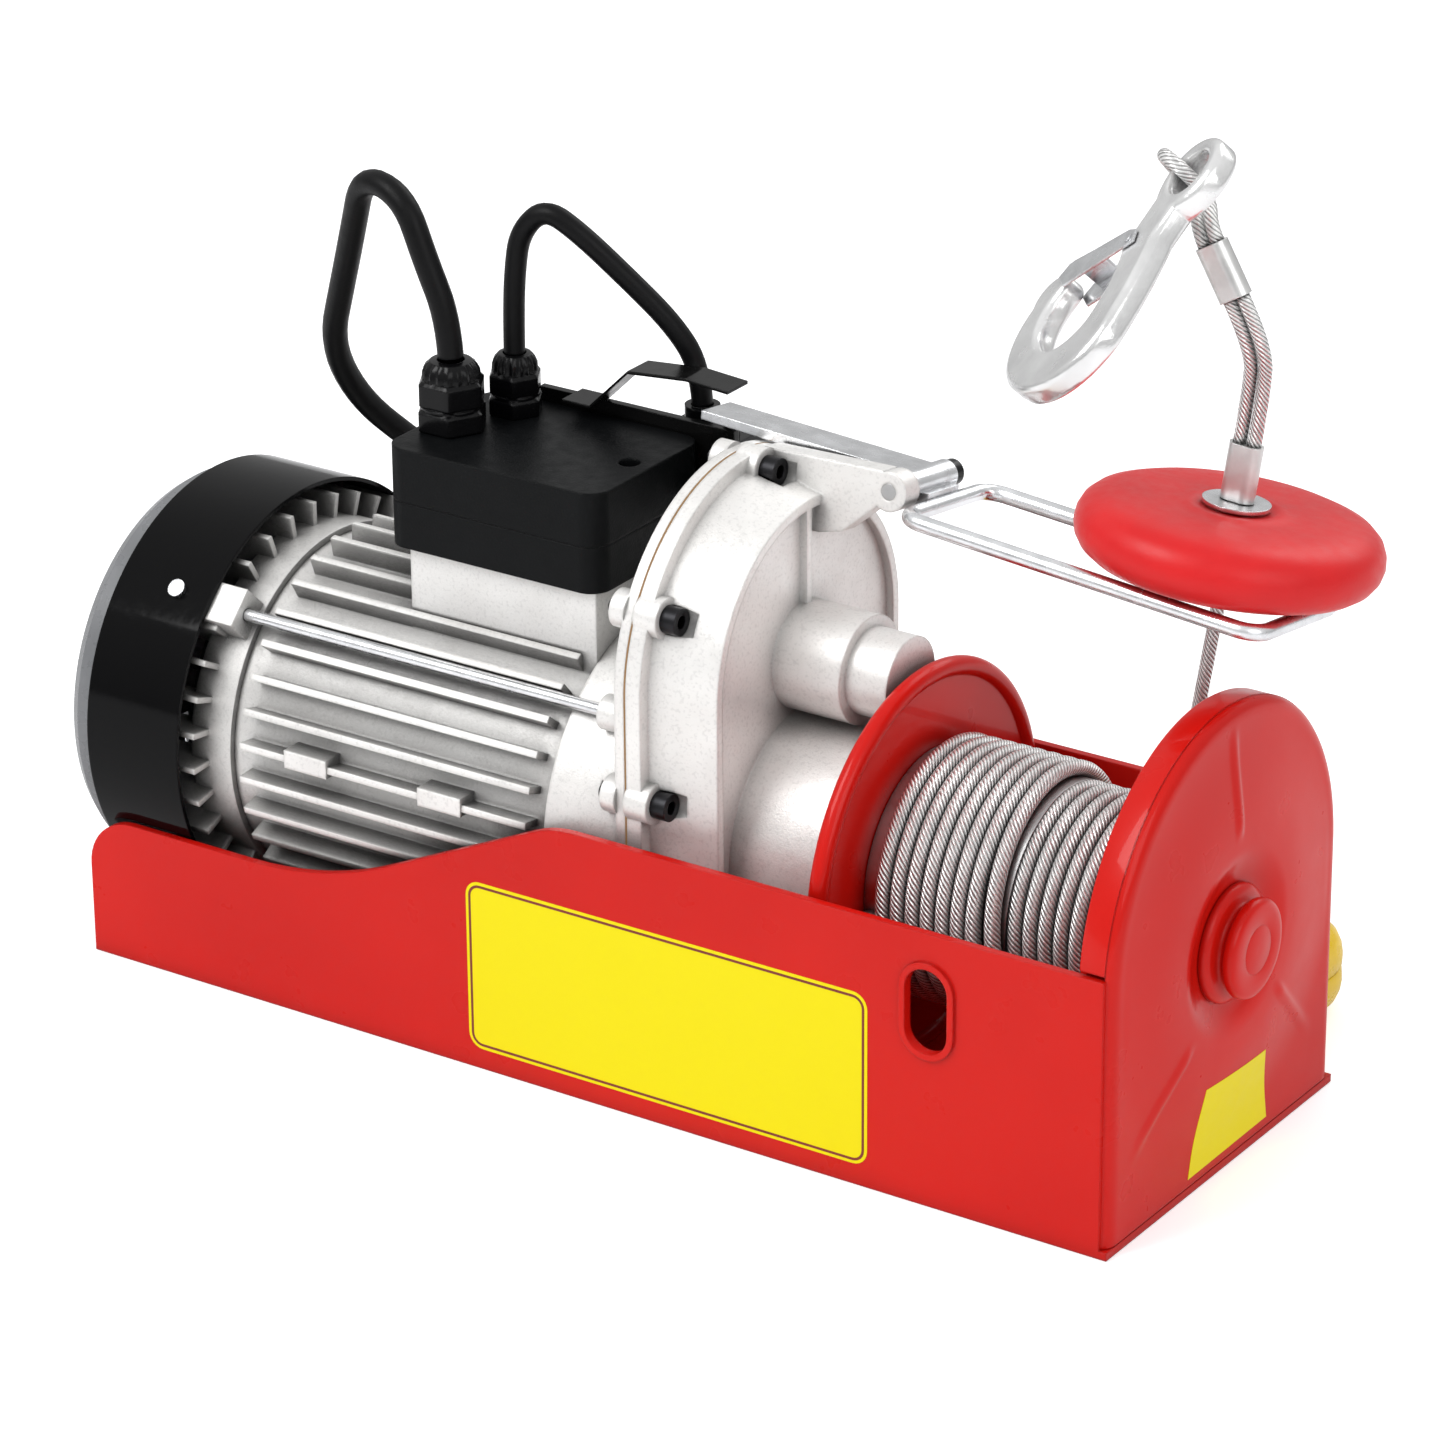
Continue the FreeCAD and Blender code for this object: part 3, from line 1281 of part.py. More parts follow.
def terminal_box():
    outer = rounded_block("box_left", "box_front", "box_bottom", "box_length", "box_width",
                          "box_seam - box_bottom - 0.1",
                          "box_corner")
    inner = rounded_block("box_left + box_wall", "box_front + box_wall", "box_bottom + box_wall",
                          "box_length - 2 * box_wall",
                          "box_width - 2 * box_wall", "60", "(box_corner - 2)")
    x, y = lid_screw()
    post = rod(x, y, "box_bottom", "5", "box_seam - box_bottom - 0.1", UPRIGHT)
    hole = rod(x, y, "box_bottom + 4", "2.1", "60", UPRIGHT)
    node("terminal_box", cut(fuse(cut(outer, inner), post), hole))
    lid = rounded_block("box_left", "box_front", "box_seam", "box_length", "box_width",
                        "box_top - box_seam", "box_corner")
    hollow = rounded_block("box_left + box_wall", "box_front + box_wall", "box_seam - 1",
                           "box_length - 2 * box_wall",
                           "box_width - 2 * box_wall", "box_top - box_seam - box_wall + 1",
                           "(box_corner - 2)")
    sleeve = rod(x, y, "box_seam", "6", "box_top - box_seam - 1", UPRIGHT)
    well = rod(x, y, "box_seam + 8", "4", "60", UPRIGHT)
    hole = rod(x, y, "box_seam - 1", "2.1", "60", UPRIGHT)
    gland_holes = [rod(gx, gy, "box_top - 10", "8.1", "20", UPRIGHT) for gx, gy, r, up, d in glands()]
    node("terminal_lid", cut(fuse(cut(lid, hollow), sleeve), well, hole, *gland_holes))
    shank = rod(x, y, "box_bottom + 6", "2", "box_seam + 8 - box_bottom - 6", UPRIGHT)
    head = cut(rod(x, y, "box_seam + 8", "3.7", "2.5", UPRIGHT),
               box(x + " - 3", y + " - 0.5", "box_seam + 9.5", "6", "1", "3"))
    node("cover_screws", fuse(*cover_screws, shank, head))
    bodies = []
    nuts = []
    for x, y, radius, height, cable in glands():
        hexagon = prism(x, y, "box_top", radius, height + " * 0.42")
        bore = rod(x, y, "box_top - 20", cable + " / 2 + 0.2", "80", UPRIGHT)
        inside = rod(x, y, "box_top - 7", "8", "8", UPRIGHT)
        core = rod(x, y, "box_top", "8.5", "%s * 0.95" % height, UPRIGHT)
        bodies.append(cut(fuse(hexagon, inside, core), bore))
        cap = fuse(prism(x, y, "box_top + %s * 0.42 + 0.3" % height, radius + " * 0.97",
                         height + " * 0.58 - 0.3"),
                   dome(x, y, "box_top + %s" % height, radius + " * 0.8"))
        nuts.append(cut(cap, rod(x, y, "box_top", "8.5 + press_gap", "%s * 0.95 + 0.1" % height, UPRIGHT),
                        rod(x, y, "box_top", cable + " / 2 + 0.2", "80", UPRIGHT)))
    node("cable_glands", fuse(*bodies, *nuts))
    node("run_capacitor", rod("box_left + 20", "box_front + 23", "box_bottom + box_wall + 12.3", "12", "52"))
    block = box("box_left + 36", "box_front + 42", "box_bottom + box_wall + 0.1", "40", "14", "13")
    clamps = [rod("box_left + 36 + %d" % (5 + 7.5 * i), "box_front + 49", "box_bottom + 9", "2", "20",
                  UPRIGHT)
              for i in range(5)]
    node("terminal_block", cut(block, *clamps))


def prism(x, y, z, radius, height):
    """A hexagon bar that stands upright."""
    thing = doc.addObject("Part::Prism", "hexagon")
    thing.Polygon = 6
    put(thing, "Circumradius", radius)
    put(thing, "Height", height)
    return place(thing, x, y, z)


def dome(x, y, z, radius):
    """The rounded top of a gland nut."""
    low = rod(x, y, z, radius, "gland_dome * 0.5", UPRIGHT)
    thing = doc.addObject("Part::Cone", "dome")
    put(thing, "Radius1", radius)
    put(thing, "Radius2", "(%s) * 0.72" % radius)
    put(thing, "Height", "gland_dome * 0.5")
    place(thing, x, y, "%s + gland_dome * 0.5" % z)
    return fuse(low, thing)


# the limit lever, its switch and the parts round them
def limit_gear():
    tube = lever_bar(0, val("tube_length"), val("pivot_tube_radius"))
    end = -val("arm_length")
    top = val("pivot_tube_radius") + val("arm_rise")
    arm = lever_plate([(0, val("pivot_tube_radius")), (end, top), (end, top - val("arm_thickness")),
                       (-2.5, 1.2)],
                      val("arm_front"), val("arm_width"))
    web = lever_plate([(1, -1), (9, -1), (9, -6.5), (1, -6.5)], 3, 20)
    rod_place = lever_point(val("loop_ahead"), -50, -val("loop_below"))
    groove = Part.makeCylinder(val("loop_rod") / 2 + 0.03, 150, rod_place, lever_way(0, 1, 0))
    bore = lever_bar(-5, val("tube_length") + 10, val("pivot_pin_radius") + val("running_fit"))
    node("limit_lever", shape(tube.multiFuse([arm, web]).removeSplitter().cut(groove.fuse(bore))))
    loop()
    gap = val("seat_gap")
    pin_start = -val("lug_thickness") - gap
    pin_end = val("tube_length") + gap + 2
    node("pivot_pin", shape(lever_bar(pin_start, pin_end - pin_start, val("pivot_pin_radius"))))
    cap = lever_bar(val("tube_length") + gap, 5, val("pivot_tube_radius") - 0.7)
    seat = lever_bar(val("tube_length"), gap + 2.1, val("pivot_pin_radius") + val("press_gap"))
    node("pin_cap", shape(cap.cut(seat)))
    back = "box_front + box_width + 1"
    plate = box("-87", back, "190", "85", "bracket_thickness", "29")
    tab = box("-2.5", back, "180", "flange_face - flange_thickness + 2.5", "bracket_thickness", "28")
    node("limit_bracket", fuse(plate, tab))
    switch_y = back + " + bracket_thickness"
    body = box("-34", switch_y, "194", "32", "19", "20")
    collar = rod("-24", switch_y + " + 9.5", "213", "6.5", "8", UPRIGHT)
    well = rod("-8", switch_y + " + 4.2", "205", "3 + running_fit", "20", UPRIGHT)
    hole = rod("-24", switch_y + " + 9.5", "215", "jumper_diameter / 2 + 0.2", "20", UPRIGHT)
    node("limit_switch", cut(fuse(body, collar), well, hole))
    stem = rod("-8", switch_y + " + 4.2", "206", "3", "pivot_z + 3.5 - 206", UPRIGHT)
    node("limit_plunger", stem)
    path = [V(-70, 0, 219.3), V(-58, 0, 219.3), V(-41, 0, 236), V(-16, 0, 238.3), V(2, 0, 237)]
    thin = 1.2
    outline = path + [V(p.x, 0, p.z + thin) for p in reversed(path)]
    outline = [V(p.x, 19, p.z) for p in outline]
    strip = Part.Face(Part.makePolygon(outline + [outline[0]])).extrude(V(0, 13, 0))
    node("leaf_strip", shape(strip))


def loop():
    """The rod that the rope passes through, bent to a closed loop."""
    r = val("loop_rod") / 2
    bend = val("loop_bend")
    corners = loop_corners()
    edges = []
    middle = (corners[3] + corners[0]) * 0.5
    points = [middle] + corners + [middle]
    last = middle
    for i in range(1, 5):
        back = (points[i - 1] - points[i]).normalize()
        ahead = (points[i + 1] - points[i]).normalize()
        start = points[i] + back * bend
        end = points[i] + ahead * bend
        edges.append(Part.LineSegment(last, start).toShape())
        edges.append(arc_from(start, back * -1, end))
        last = end
    edges.append(Part.LineSegment(last, middle).toShape())
    wire = Part.Wire(edges)
    circle = Part.Wire(Part.makeCircle(r, middle, lever_way(0, -1, 0)))
    solid = wire.makePipeShell([circle], True, False)
    node("lever_loop", shape(solid))


# the pendant control and the cables
def pendant():
    x, y = "pendant_left", "pendant_front"
    half = "pendant_height / 2"
    low = rounded_block(x, y, "0", "pendant_length", "pendant_width", half + " - 0.1", "12")
    low_in = rounded_block(x + " + pendant_wall", y + " + pendant_wall", "pendant_wall",
                           "pendant_length - 2 * pendant_wall",
                           "pendant_width - 2 * pendant_wall", "60", "10")
    entry = rod(x + " - 5", y + " + pendant_width / 2", half, "7 + press_gap", "12")
    mouth = rod(x + " - 5", y + " + pendant_width / 2", half, "7 + press_gap", "12")
    lower = cut(low, low_in, entry)
    high = rounded_block(x, y, half, "pendant_length", "pendant_width", half, "12")
    high_in = rounded_block(x + " + pendant_wall", y + " + pendant_wall", "0",
                            "pendant_length - 2 * pendant_wall",
                            "pendant_width - 2 * pendant_wall", "pendant_height - pendant_wall", "10")
    holes = [rod(x + " + %d" % p, y + " + pendant_width / 2", "0", "button_radius + 0.1", "60", UPRIGHT)
             for p in BUTTON_PLACES]
    node("pendant_shell", fuse(lower, cut(high, high_in, mouth, *holes)))
    for name, p in zip(("stop_button", "up_button", "down_button"), BUTTON_PLACES):
        cap = rod(x + " + %d" % p, y + " + pendant_width / 2", "pendant_height - pendant_wall - 1",
                  "button_radius",
                  "pendant_wall + 1 + button_proud", UPRIGHT)
        ledge = rod(x + " + %d" % p, y + " + pendant_width / 2", "pendant_height - pendant_wall - 2.3",
                    "button_radius + 2", "2", UPRIGHT)
        parts = [cap, ledge]
        if name == "stop_button":
            parts.append(rod(x + " + %d" % p, y + " + pendant_width / 2", "pendant_height + button_proud",
                             "button_radius + 3", "5", UPRIGHT))
        node(name, fuse(*parts))
    board = box(x + " + 12", y + " + 8", "pendant_wall", "pendant_length - 24", "pendant_width - 16", "20")
    node("contact_block", board)
    sleeve = cut(fuse(rod(x + " - 16", y + " + pendant_width / 2", half, "7", "21"),
                      rod(x + " + pendant_wall + 0.1", y + " + pendant_width / 2", half, "8.5", "2")),
                 rod(x + " - 20", y + " + pendant_width / 2", half, "cable_diameter / 2 + 0.2", "40"))
    node("pendant_grommet", sleeve)


BUTTON_PLACES = (34, 68, 98)


CABLE_POINTS = [(-97, -11, 241), (-98, -11, 256), (-106, -12, 275), (-115, -12, 298), (-137, -7, 301),
                (-149, 2, 276), (-161, 10, 250), (-173, 17, 222), (-170, 29, 197), (-160, 48, 176),
                (-152, 74, 152), (-146, 94, 122), (-141, 103, 86), (-139, 108, 52), (-136, 114, 29),
                (-128, 120, 13), (-115, 126.5, 5.4), (-93, 130, 5.4), (-71.5, 130, 5.4)]
JUMPER_POINTS = [(-87, 14, 237), (-87, 14, 251), (-86, 14, 268), (-83.5, 14, 283), (-73, 15, 294),
                 (-60, 18, 286), (-46, 27, 269),
                 (-32, 35, 252), (-24.5, 40.5, 236), (-24, 41.5, 221.5)]


def cables():
    d = val("cable_diameter")
    points = [V(*p) for p in CABLE_POINTS]
    node("pendant_cable", shape(pipe(smooth_route(points, d, "pendant_cable"), d, "pendant_cable")))
    small = val("jumper_diameter")
    points = [V(*p) for p in JUMPER_POINTS]
    node("limit_cable", shape(pipe(smooth_route(points, small, "limit_cable"), small, "limit_cable")))


def coil():
    """Two layers of flat loops on the floor: in along the lower one and out along the upper one."""
    d = val("cable_diameter")
    step = d + 0.9
    floor = d / 2 + 0.65
    quarters = 7
    loop_radius = val("coil_radius")
    cx = val("coil_x")
    cy = val("coil_start_y") + loop_radius

    def spot(k):
        radius = loop_radius - step * min(k, 2 * quarters + 2 - k) / 4
        climb = 0 if k <= quarters else 1 if k >= quarters + 2 else 0.5
        turn = -math.pi / 2 + math.pi / 2 * k
        return V(cx + radius * math.cos(turn), cy + radius * math.sin(turn), floor + climb * (d + 0.6))

    def way(k):
        turn = -math.pi / 2 + math.pi / 2 * k
        slide = (spot(k + 1) - V(cx, cy, spot(k + 1).z)).Length - (spot(k - 1) - V(cx, cy,
                spot(k - 1).z)).Length
        rise = (spot(k + 1).z - spot(k - 1).z) / 2
        radial = V(math.cos(turn), math.sin(turn), 0)
        around = V(-math.sin(turn), math.cos(turn), 0)
        arc = (spot(k) - V(cx, cy, spot(k).z)).Length * math.pi / 2
        return (around * arc + radial * (slide / 2) + V(0, 0, rise)).normalize()

    total = 2 * quarters + 2
    made = winding(spot, way, total, V(1, 0, 0), None, d, "cable_coil")
    node("cable_coil", shape(made))
    end = spot(total)
    return end, way(total)


def lead(end, direction):
    """From the coil to the pendant."""
    d = val("cable_diameter")
    entry = V(val("pendant_left") - 16, val("pendant_front") + val("pendant_width") / 2,
              val("pendant_height") / 2)
    start = end + direction * d
    points = [start, start + direction * 25, V(-4, 122, 12.6), entry - V(19, 0, 0), entry + V(12, 0, 0)]
    node("pendant_lead", shape(pipe(smooth_route(points, d, "pendant_lead"), d, "pendant_lead")))


def check_document():
    """Stop when an object of the document failed."""
    bad = [o.Label for o in doc.Objects if "Invalid" in o.State or "Error" in o.State]
    assert not bad, bad
    for name, thing in nodes:
        made = thing.Shape
        assert not made.isNull() and made.isValid() and made.Volume > 0, name


base_channel()
drum_end()
motor_body()
motor_shields()
front_shield()
motor_inside()
gears()
gear_case()
drum()
rope()
foot, tilt = weight_and_tail()
hook()
rope_eye(foot, tilt)
terminal_box()
limit_gear()
pendant()
cables()
coil_end, coil_way = coil()
lead(coil_end, coil_way)
doc.recompute()
check_document()
for name, thing in nodes:
    thing.Shape.exportStep("%s/%s.step" % (OUT, name))
print(len(nodes), "nodes")
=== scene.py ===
# %% [markdown]
# # A small electric wire rope hoist
# The hoist stands upside down on its mounting channel: motor on the left, gear case in the middle, rope
# drum on the right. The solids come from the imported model, in metres. This lesson gives every piece its
# finish and rebuilds the pieces whose real surface is softer or finer than a plain solid: rope, cables,
# hook, stop weight and pressed steel.

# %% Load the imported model
import bpy
import bmesh
import math
from mathutils import Matrix, Vector


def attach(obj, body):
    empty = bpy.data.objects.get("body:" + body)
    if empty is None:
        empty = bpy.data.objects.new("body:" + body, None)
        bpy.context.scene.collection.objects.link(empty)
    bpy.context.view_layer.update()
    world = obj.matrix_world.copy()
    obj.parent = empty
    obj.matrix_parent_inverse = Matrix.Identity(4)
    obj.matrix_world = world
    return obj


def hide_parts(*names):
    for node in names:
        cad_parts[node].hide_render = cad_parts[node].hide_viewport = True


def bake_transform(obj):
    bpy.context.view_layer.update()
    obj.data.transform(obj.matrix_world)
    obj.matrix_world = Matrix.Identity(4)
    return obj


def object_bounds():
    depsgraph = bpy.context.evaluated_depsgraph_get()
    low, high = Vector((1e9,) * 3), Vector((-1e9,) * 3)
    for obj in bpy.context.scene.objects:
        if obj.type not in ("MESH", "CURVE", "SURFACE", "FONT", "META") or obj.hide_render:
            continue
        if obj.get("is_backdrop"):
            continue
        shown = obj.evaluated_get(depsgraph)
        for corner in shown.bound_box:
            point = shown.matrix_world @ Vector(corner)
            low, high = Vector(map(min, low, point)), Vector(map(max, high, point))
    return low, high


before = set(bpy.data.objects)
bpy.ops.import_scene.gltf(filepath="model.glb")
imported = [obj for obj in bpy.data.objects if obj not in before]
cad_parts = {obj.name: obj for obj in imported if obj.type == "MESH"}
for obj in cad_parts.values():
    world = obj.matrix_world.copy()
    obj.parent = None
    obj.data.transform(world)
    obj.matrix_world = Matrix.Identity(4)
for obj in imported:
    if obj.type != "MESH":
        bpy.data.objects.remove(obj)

scene = bpy.context.scene
cad_low, cad_high = (list(corner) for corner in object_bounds())
MM = 0.001
print("nodes", len(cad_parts), "box", cad_low, cad_high)

# %% [markdown]
# ## The camera
# A product photograph like this one is taken from far away with a long lens, so the edges of the channel
# stay nearly parallel. A camera can be placed by hand until it looks right, or worked out from points whose
# real places are known. Here it is worked out: the angles below put the drum axis, the bolts and the
# corners where the photograph has them.

# %% Camera
AZIMUTH, ELEVATION, ROLL = math.radians(34.1), math.radians(24.0), math.radians(-0.47)
LOOK_AT = Vector((11.64, 0, 119.75)) * MM
DISTANCE = 2147.8 * MM
FOCAL_PIXELS, PHOTO_PIXELS = 6000, 1445
SENSOR = 36
FAR_CLIP = 20
right = Vector((math.cos(AZIMUTH), math.sin(AZIMUTH), 0))
back = Vector((math.sin(AZIMUTH) * math.cos(ELEVATION), -math.cos(AZIMUTH) * math.cos(ELEVATION),
               math.sin(ELEVATION)))
up = back.cross(right)
across = right * math.cos(ROLL) + up * math.sin(ROLL)
upward = up * math.cos(ROLL) - right * math.sin(ROLL)
camera = bpy.data.objects.new("camera", bpy.data.cameras.new("camera"))
camera.data.sensor_width = SENSOR
camera.data.lens = SENSOR * FOCAL_PIXELS / PHOTO_PIXELS
camera.data.clip_end = FAR_CLIP
facing = Matrix((across, upward, back)).transposed().to_4x4()
camera.matrix_world = Matrix.Translation(LOOK_AT + back * DISTANCE) @ facing
scene.collection.objects.link(camera)
scene.camera = camera
print("camera", [round(v, 3) for v in camera.location], "lens", round(camera.data.lens, 1))

# %% [markdown]
# ## Light and floor
# The photograph has a white studio with large soft lamps. One area lamp above and in front gives the form,
# a weaker one from the right opens the shadows, and the pale surroundings fill the rest. The background is
# white because the world and the floor say so to camera rays, not because more light falls on the object.


# %% Lamps
LAMP_AIM = Vector((0, 0, 0.1))
LAMPS = (("key", (-0.9, -1.5, 2.0), 1.3, 34), ("fill", (1.9, -0.9, 1.2), 1.4, 11),
         ("rim", (0.3, 1.8, 1.6), 1.4, 12))


def area_lamp(name, place, size, power):
    """A square soft lamp that looks at the middle of the hoist."""
    lamp = bpy.data.objects.new(name, bpy.data.lights.new(name, "AREA"))
    lamp.data.size = size
    lamp.data.energy = power
    lamp.location = place
    lamp.rotation_euler = (Vector(place) - LAMP_AIM).to_track_quat("Z", "Y").to_euler()
    scene.collection.objects.link(lamp)


for lamp in LAMPS:
    area_lamp(*lamp)

# %% World
SKY_LOW, SKY_HIGH = -0.25, 0.6
LIGHT_LOW, LIGHT_HIGH = 0.35, 0.95
world = bpy.data.worlds.new("studio")
scene.world = world
world.use_nodes = True
nodes, links = world.node_tree.nodes, world.node_tree.links
nodes.clear()
where = nodes.new("ShaderNodeTexCoord")
split = nodes.new("ShaderNodeSeparateXYZ")
height = nodes.new("ShaderNodeMapRange")
for socket, value in zip(("From Min", "From Max", "To Min", "To Max"),
                         (SKY_LOW, SKY_HIGH, LIGHT_LOW, LIGHT_HIGH)):
    height.inputs[socket].default_value = value
ambient = nodes.new("ShaderNodeBackground")
white = nodes.new("ShaderNodeBackground")
white.inputs["Color"].default_value = (1, 1, 1, 1)
rays = nodes.new("ShaderNodeLightPath")
choose = nodes.new("ShaderNodeMixShader")
out = nodes.new("ShaderNodeOutputWorld")
links.new(where.outputs["Generated"], split.inputs[0])
links.new(split.outputs["Z"], height.inputs["Value"])
links.new(height.outputs["Result"], ambient.inputs["Strength"])
links.new(rays.outputs["Is Camera Ray"], choose.inputs["Fac"])
links.new(ambient.outputs[0], choose.inputs[1])
links.new(white.outputs[0], choose.inputs[2])
links.new(choose.outputs[0], out.inputs["Surface"])
print("world strength from", LIGHT_LOW, "to", LIGHT_HIGH)

# %% Floor
scene.view_settings.view_transform = "Standard"

FLOOR = 3.0
FLOOR_DROP = 0.0003
PAPER, PAPER_ROUGH, PAPER_GLOW = (0.86, 0.86, 0.87, 1), 0.6, 0.42
floor_corners = [(-FLOOR, -FLOOR, 0), (FLOOR, -FLOOR, 0), (FLOOR, FLOOR, 0), (-FLOOR, FLOOR, 0)]
floor_mesh = bpy.data.meshes.new("floor")
floor_mesh.from_pydata(floor_corners, [], [(0, 1, 2, 3)])
floor = bpy.data.objects.new("floor", floor_mesh)
floor.location.z = -FLOOR_DROP
scene.collection.objects.link(floor)
floor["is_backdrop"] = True
paper = bpy.data.materials.new("white_paper")
paper.use_nodes = True
nodes, links = paper.node_tree.nodes, paper.node_tree.links
sheen = nodes["Principled BSDF"]
sheen.inputs["Base Color"].default_value = PAPER
sheen.inputs["Roughness"].default_value = PAPER_ROUGH
glow = nodes.new("ShaderNodeEmission")
glow.inputs["Color"].default_value = (1, 1, 1, 1)
rays = nodes.new("ShaderNodeLightPath")
share = nodes.new("ShaderNodeMath")
share.operation = "MULTIPLY"
share.inputs[1].default_value = PAPER_GLOW
links.new(rays.outputs["Is Camera Ray"], share.inputs[0])
links.new(share.outputs[0], glow.inputs["Strength"])
both = nodes.new("ShaderNodeAddShader")
links.new(sheen.outputs[0], both.inputs[0])
links.new(glow.outputs[0], both.inputs[1])
links.new(both.outputs[0], nodes["Material Output"].inputs["Surface"])
floor.data.materials.append(paper)
print("floor", FLOOR * 2, "m wide")

# %% [markdown]
# ## A small kit for materials
# Every finish starts from the same shader and adds what the real surface has: a colour that varies a
# little, a roughness that is not the same everywhere, and a fine relief. The relief of a coating can come
# from a noise texture that feeds a bump node. Edges of cast and bent metal are never sharp, so a bevel node
# rounds them in the shading.


# %% Material kit
class Finish:
    """A material under construction: its node tree and the few steps that the finishes share."""

    def __init__(self, name, colour, metal=0.0, rough=0.5, **sockets):
        self.material = bpy.data.materials.new(name)
        self.material.use_nodes = True
        self.nodes = self.material.node_tree.nodes
        self.links = self.material.node_tree.links
        self.shader = self.nodes["Principled BSDF"]
        self.shader.inputs["Base Color"].default_value = (*colour, 1)
        self.shader.inputs["Metallic"].default_value = metal
        self.shader.inputs["Roughness"].default_value = rough
        for socket, value in sockets.items():
            self.shader.inputs[socket.replace("_", " ")].default_value = value
        self.place = self.nodes.new("ShaderNodeTexCoord").outputs["Object"]
        self.normal = None

    def noise(self, scale, detail=3.0):
        """Noise over the object's own space; scale is in grains a metre."""
        texture = self.nodes.new("ShaderNodeTexNoise")
        texture.inputs["Scale"].default_value = scale
        texture.inputs["Detail"].default_value = detail
        self.links.new(self.place, texture.inputs["Vector"])
        return texture.outputs["Fac"]

    def spread(self, source, low, high, start=0.3, end=0.7):
        """Turn a texture into a number between low and high."""
        node = self.nodes.new("ShaderNodeMapRange")
        for socket, value in zip(("From Min", "From Max", "To Min", "To Max"), (start, end, low, high)):
            node.inputs[socket].default_value = value
        self.links.new(source, node.inputs["Value"])
        return node.outputs["Result"]

    def colours(self, source, first, second, start=0.35, end=0.65):
        """Turn a texture into a colour between two."""
        ramp = self.nodes.new("ShaderNodeValToRGB")
        ramp.color_ramp.elements[0].position = start
        ramp.color_ramp.elements[0].color = (*first, 1)
        ramp.color_ramp.elements[1].position = end
        ramp.color_ramp.elements[1].color = (*second, 1)
        self.links.new(source, ramp.inputs["Fac"])
        return ramp.outputs["Color"]

    def darken(self, colour, source, amount=1.0):
        """Multiply a colour by a grey."""
        mix = self.nodes.new("ShaderNodeMix")
        mix.data_type = "RGBA"
        mix.blend_type = "MULTIPLY"
        mix.inputs[0].default_value = amount
        self.links.new(colour, mix.inputs[6])
        self.links.new(source, mix.inputs[7])
        return mix.outputs[2]

    def painted_hollow_shade(self, distance, low=0.3):
        """Painted shade: dark where the surface faces itself closely, light where it is open."""
        shade = self.nodes.new("ShaderNodeAmbientOcclusion")
        shade.samples = 4
        shade.inputs["Distance"].default_value = distance
        return self.colours(shade.outputs["AO"], (low, low, low), (1, 1, 1), 0.25, 0.85)

    def rounded(self, radius):
        """Round the edges in the shading."""
        bevel = self.nodes.new("ShaderNodeBevel")
        bevel.samples = 4
        bevel.inputs["Radius"].default_value = radius
        self.normal = bevel.outputs["Normal"]
        self.links.new(self.normal, self.shader.inputs["Normal"])

    def relief(self, source, depth, strength=1.0):
        """Raise and lower the surface by a texture; depth is in metres."""
        bump = self.nodes.new("ShaderNodeBump")
        bump.inputs["Distance"].default_value = depth
        bump.inputs["Strength"].default_value = strength
        self.links.new(source, bump.inputs["Height"])
        if self.normal:
            self.links.new(self.normal, bump.inputs["Normal"])
        self.normal = bump.outputs["Normal"]
        self.links.new(self.normal, self.shader.inputs["Normal"])

    def paint(self, colour, rough):
        """Connect a colour and a roughness that vary, and hand over the finished material."""
        self.links.new(colour, self.shader.inputs["Base Color"])
        self.links.new(rough, self.shader.inputs["Roughness"])
        return self.material


print("material kit ready")

# %% [markdown]
# ## Red stove enamel
# The channel, the end cap, the hub and the drum are sprayed in one thick gloss red. Its surface has a very
# faint orange peel, and painted shade darkens the red in its corners. A clear coat over the colour gives the
# sharp white reflections.


# %% Red enamel
def red_enamel():
    finish = Finish("red_enamel", (0.6, 0.009, 0.005), rough=0.3, Coat_Weight=0.22, Coat_Roughness=0.05)
    finish.shader.inputs["Specular IOR Level"].default_value = 0.12
    finish.rounded(0.0012)
    finish.relief(finish.noise(700, 2), 0.00006, 0.15)
    tint = finish.colours(finish.noise(9, 3), (0.56, 0.006, 0.003), (0.62, 0.008, 0.004))
    # painted shade: the red is darkened where the surface faces itself closely
    tint = finish.darken(tint, finish.painted_hollow_shade(0.01, 0.6))
    return finish.paint(tint, finish.spread(finish.noise(60), 0.26, 0.36))


RED = red_enamel()
print("made", RED.name)

# %% [markdown]
# ## Cast aluminium
# Motor and gear case are die cast and left bare: a light satin metal with a fine grain, a few darker
# patches, soft edges and painted shade where the fins stand close together. The grain is a fine bump, the
# painted shade comes from how closely the surface faces itself.


# %% Cast aluminium
def cast_aluminium(name, darkest_shade, reach):
    finish = Finish(name, (0.86, 0.85, 0.83), metal=0.45, rough=0.42)
    finish.rounded(0.0016)
    finish.relief(finish.noise(1500, 3), 0.0002, 0.4)
    finish.relief(finish.noise(120, 4), 0.0006, 0.25)
    tint = finish.colours(finish.noise(30, 5), (0.8, 0.785, 0.765), (0.93, 0.92, 0.9), 0.3, 0.7)
    # painted shade: the colour darkens where the surface faces itself closely
    painted_shade = finish.painted_hollow_shade(reach, darkest_shade)
    speckle = finish.colours(finish.noise(800, 2), (0.9, 0.9, 0.9), (1, 1, 1), 0.34, 0.46)
    tint = finish.darken(tint, speckle)
    tint = finish.darken(tint, painted_shade)
    return finish.paint(tint, finish.spread(finish.noise(220), 0.34, 0.5))


# finned_casting is a copy of the casting with deeper and wider painted shade between its fins
CAST = cast_aluminium("cast_aluminium", 0.35, 0.014)
FINNED = cast_aluminium("finned_casting", 0.1, 0.03)
print("made", CAST.name, FINNED.name)

# %% [markdown]
# ## Plated and machined steel
# Zinc plate is bright, a little blue and slightly cloudy. Machined steel is duller and shows fine lines.
# Both are metals, so the colour sits in the reflection and the roughness decides how blurred it is.


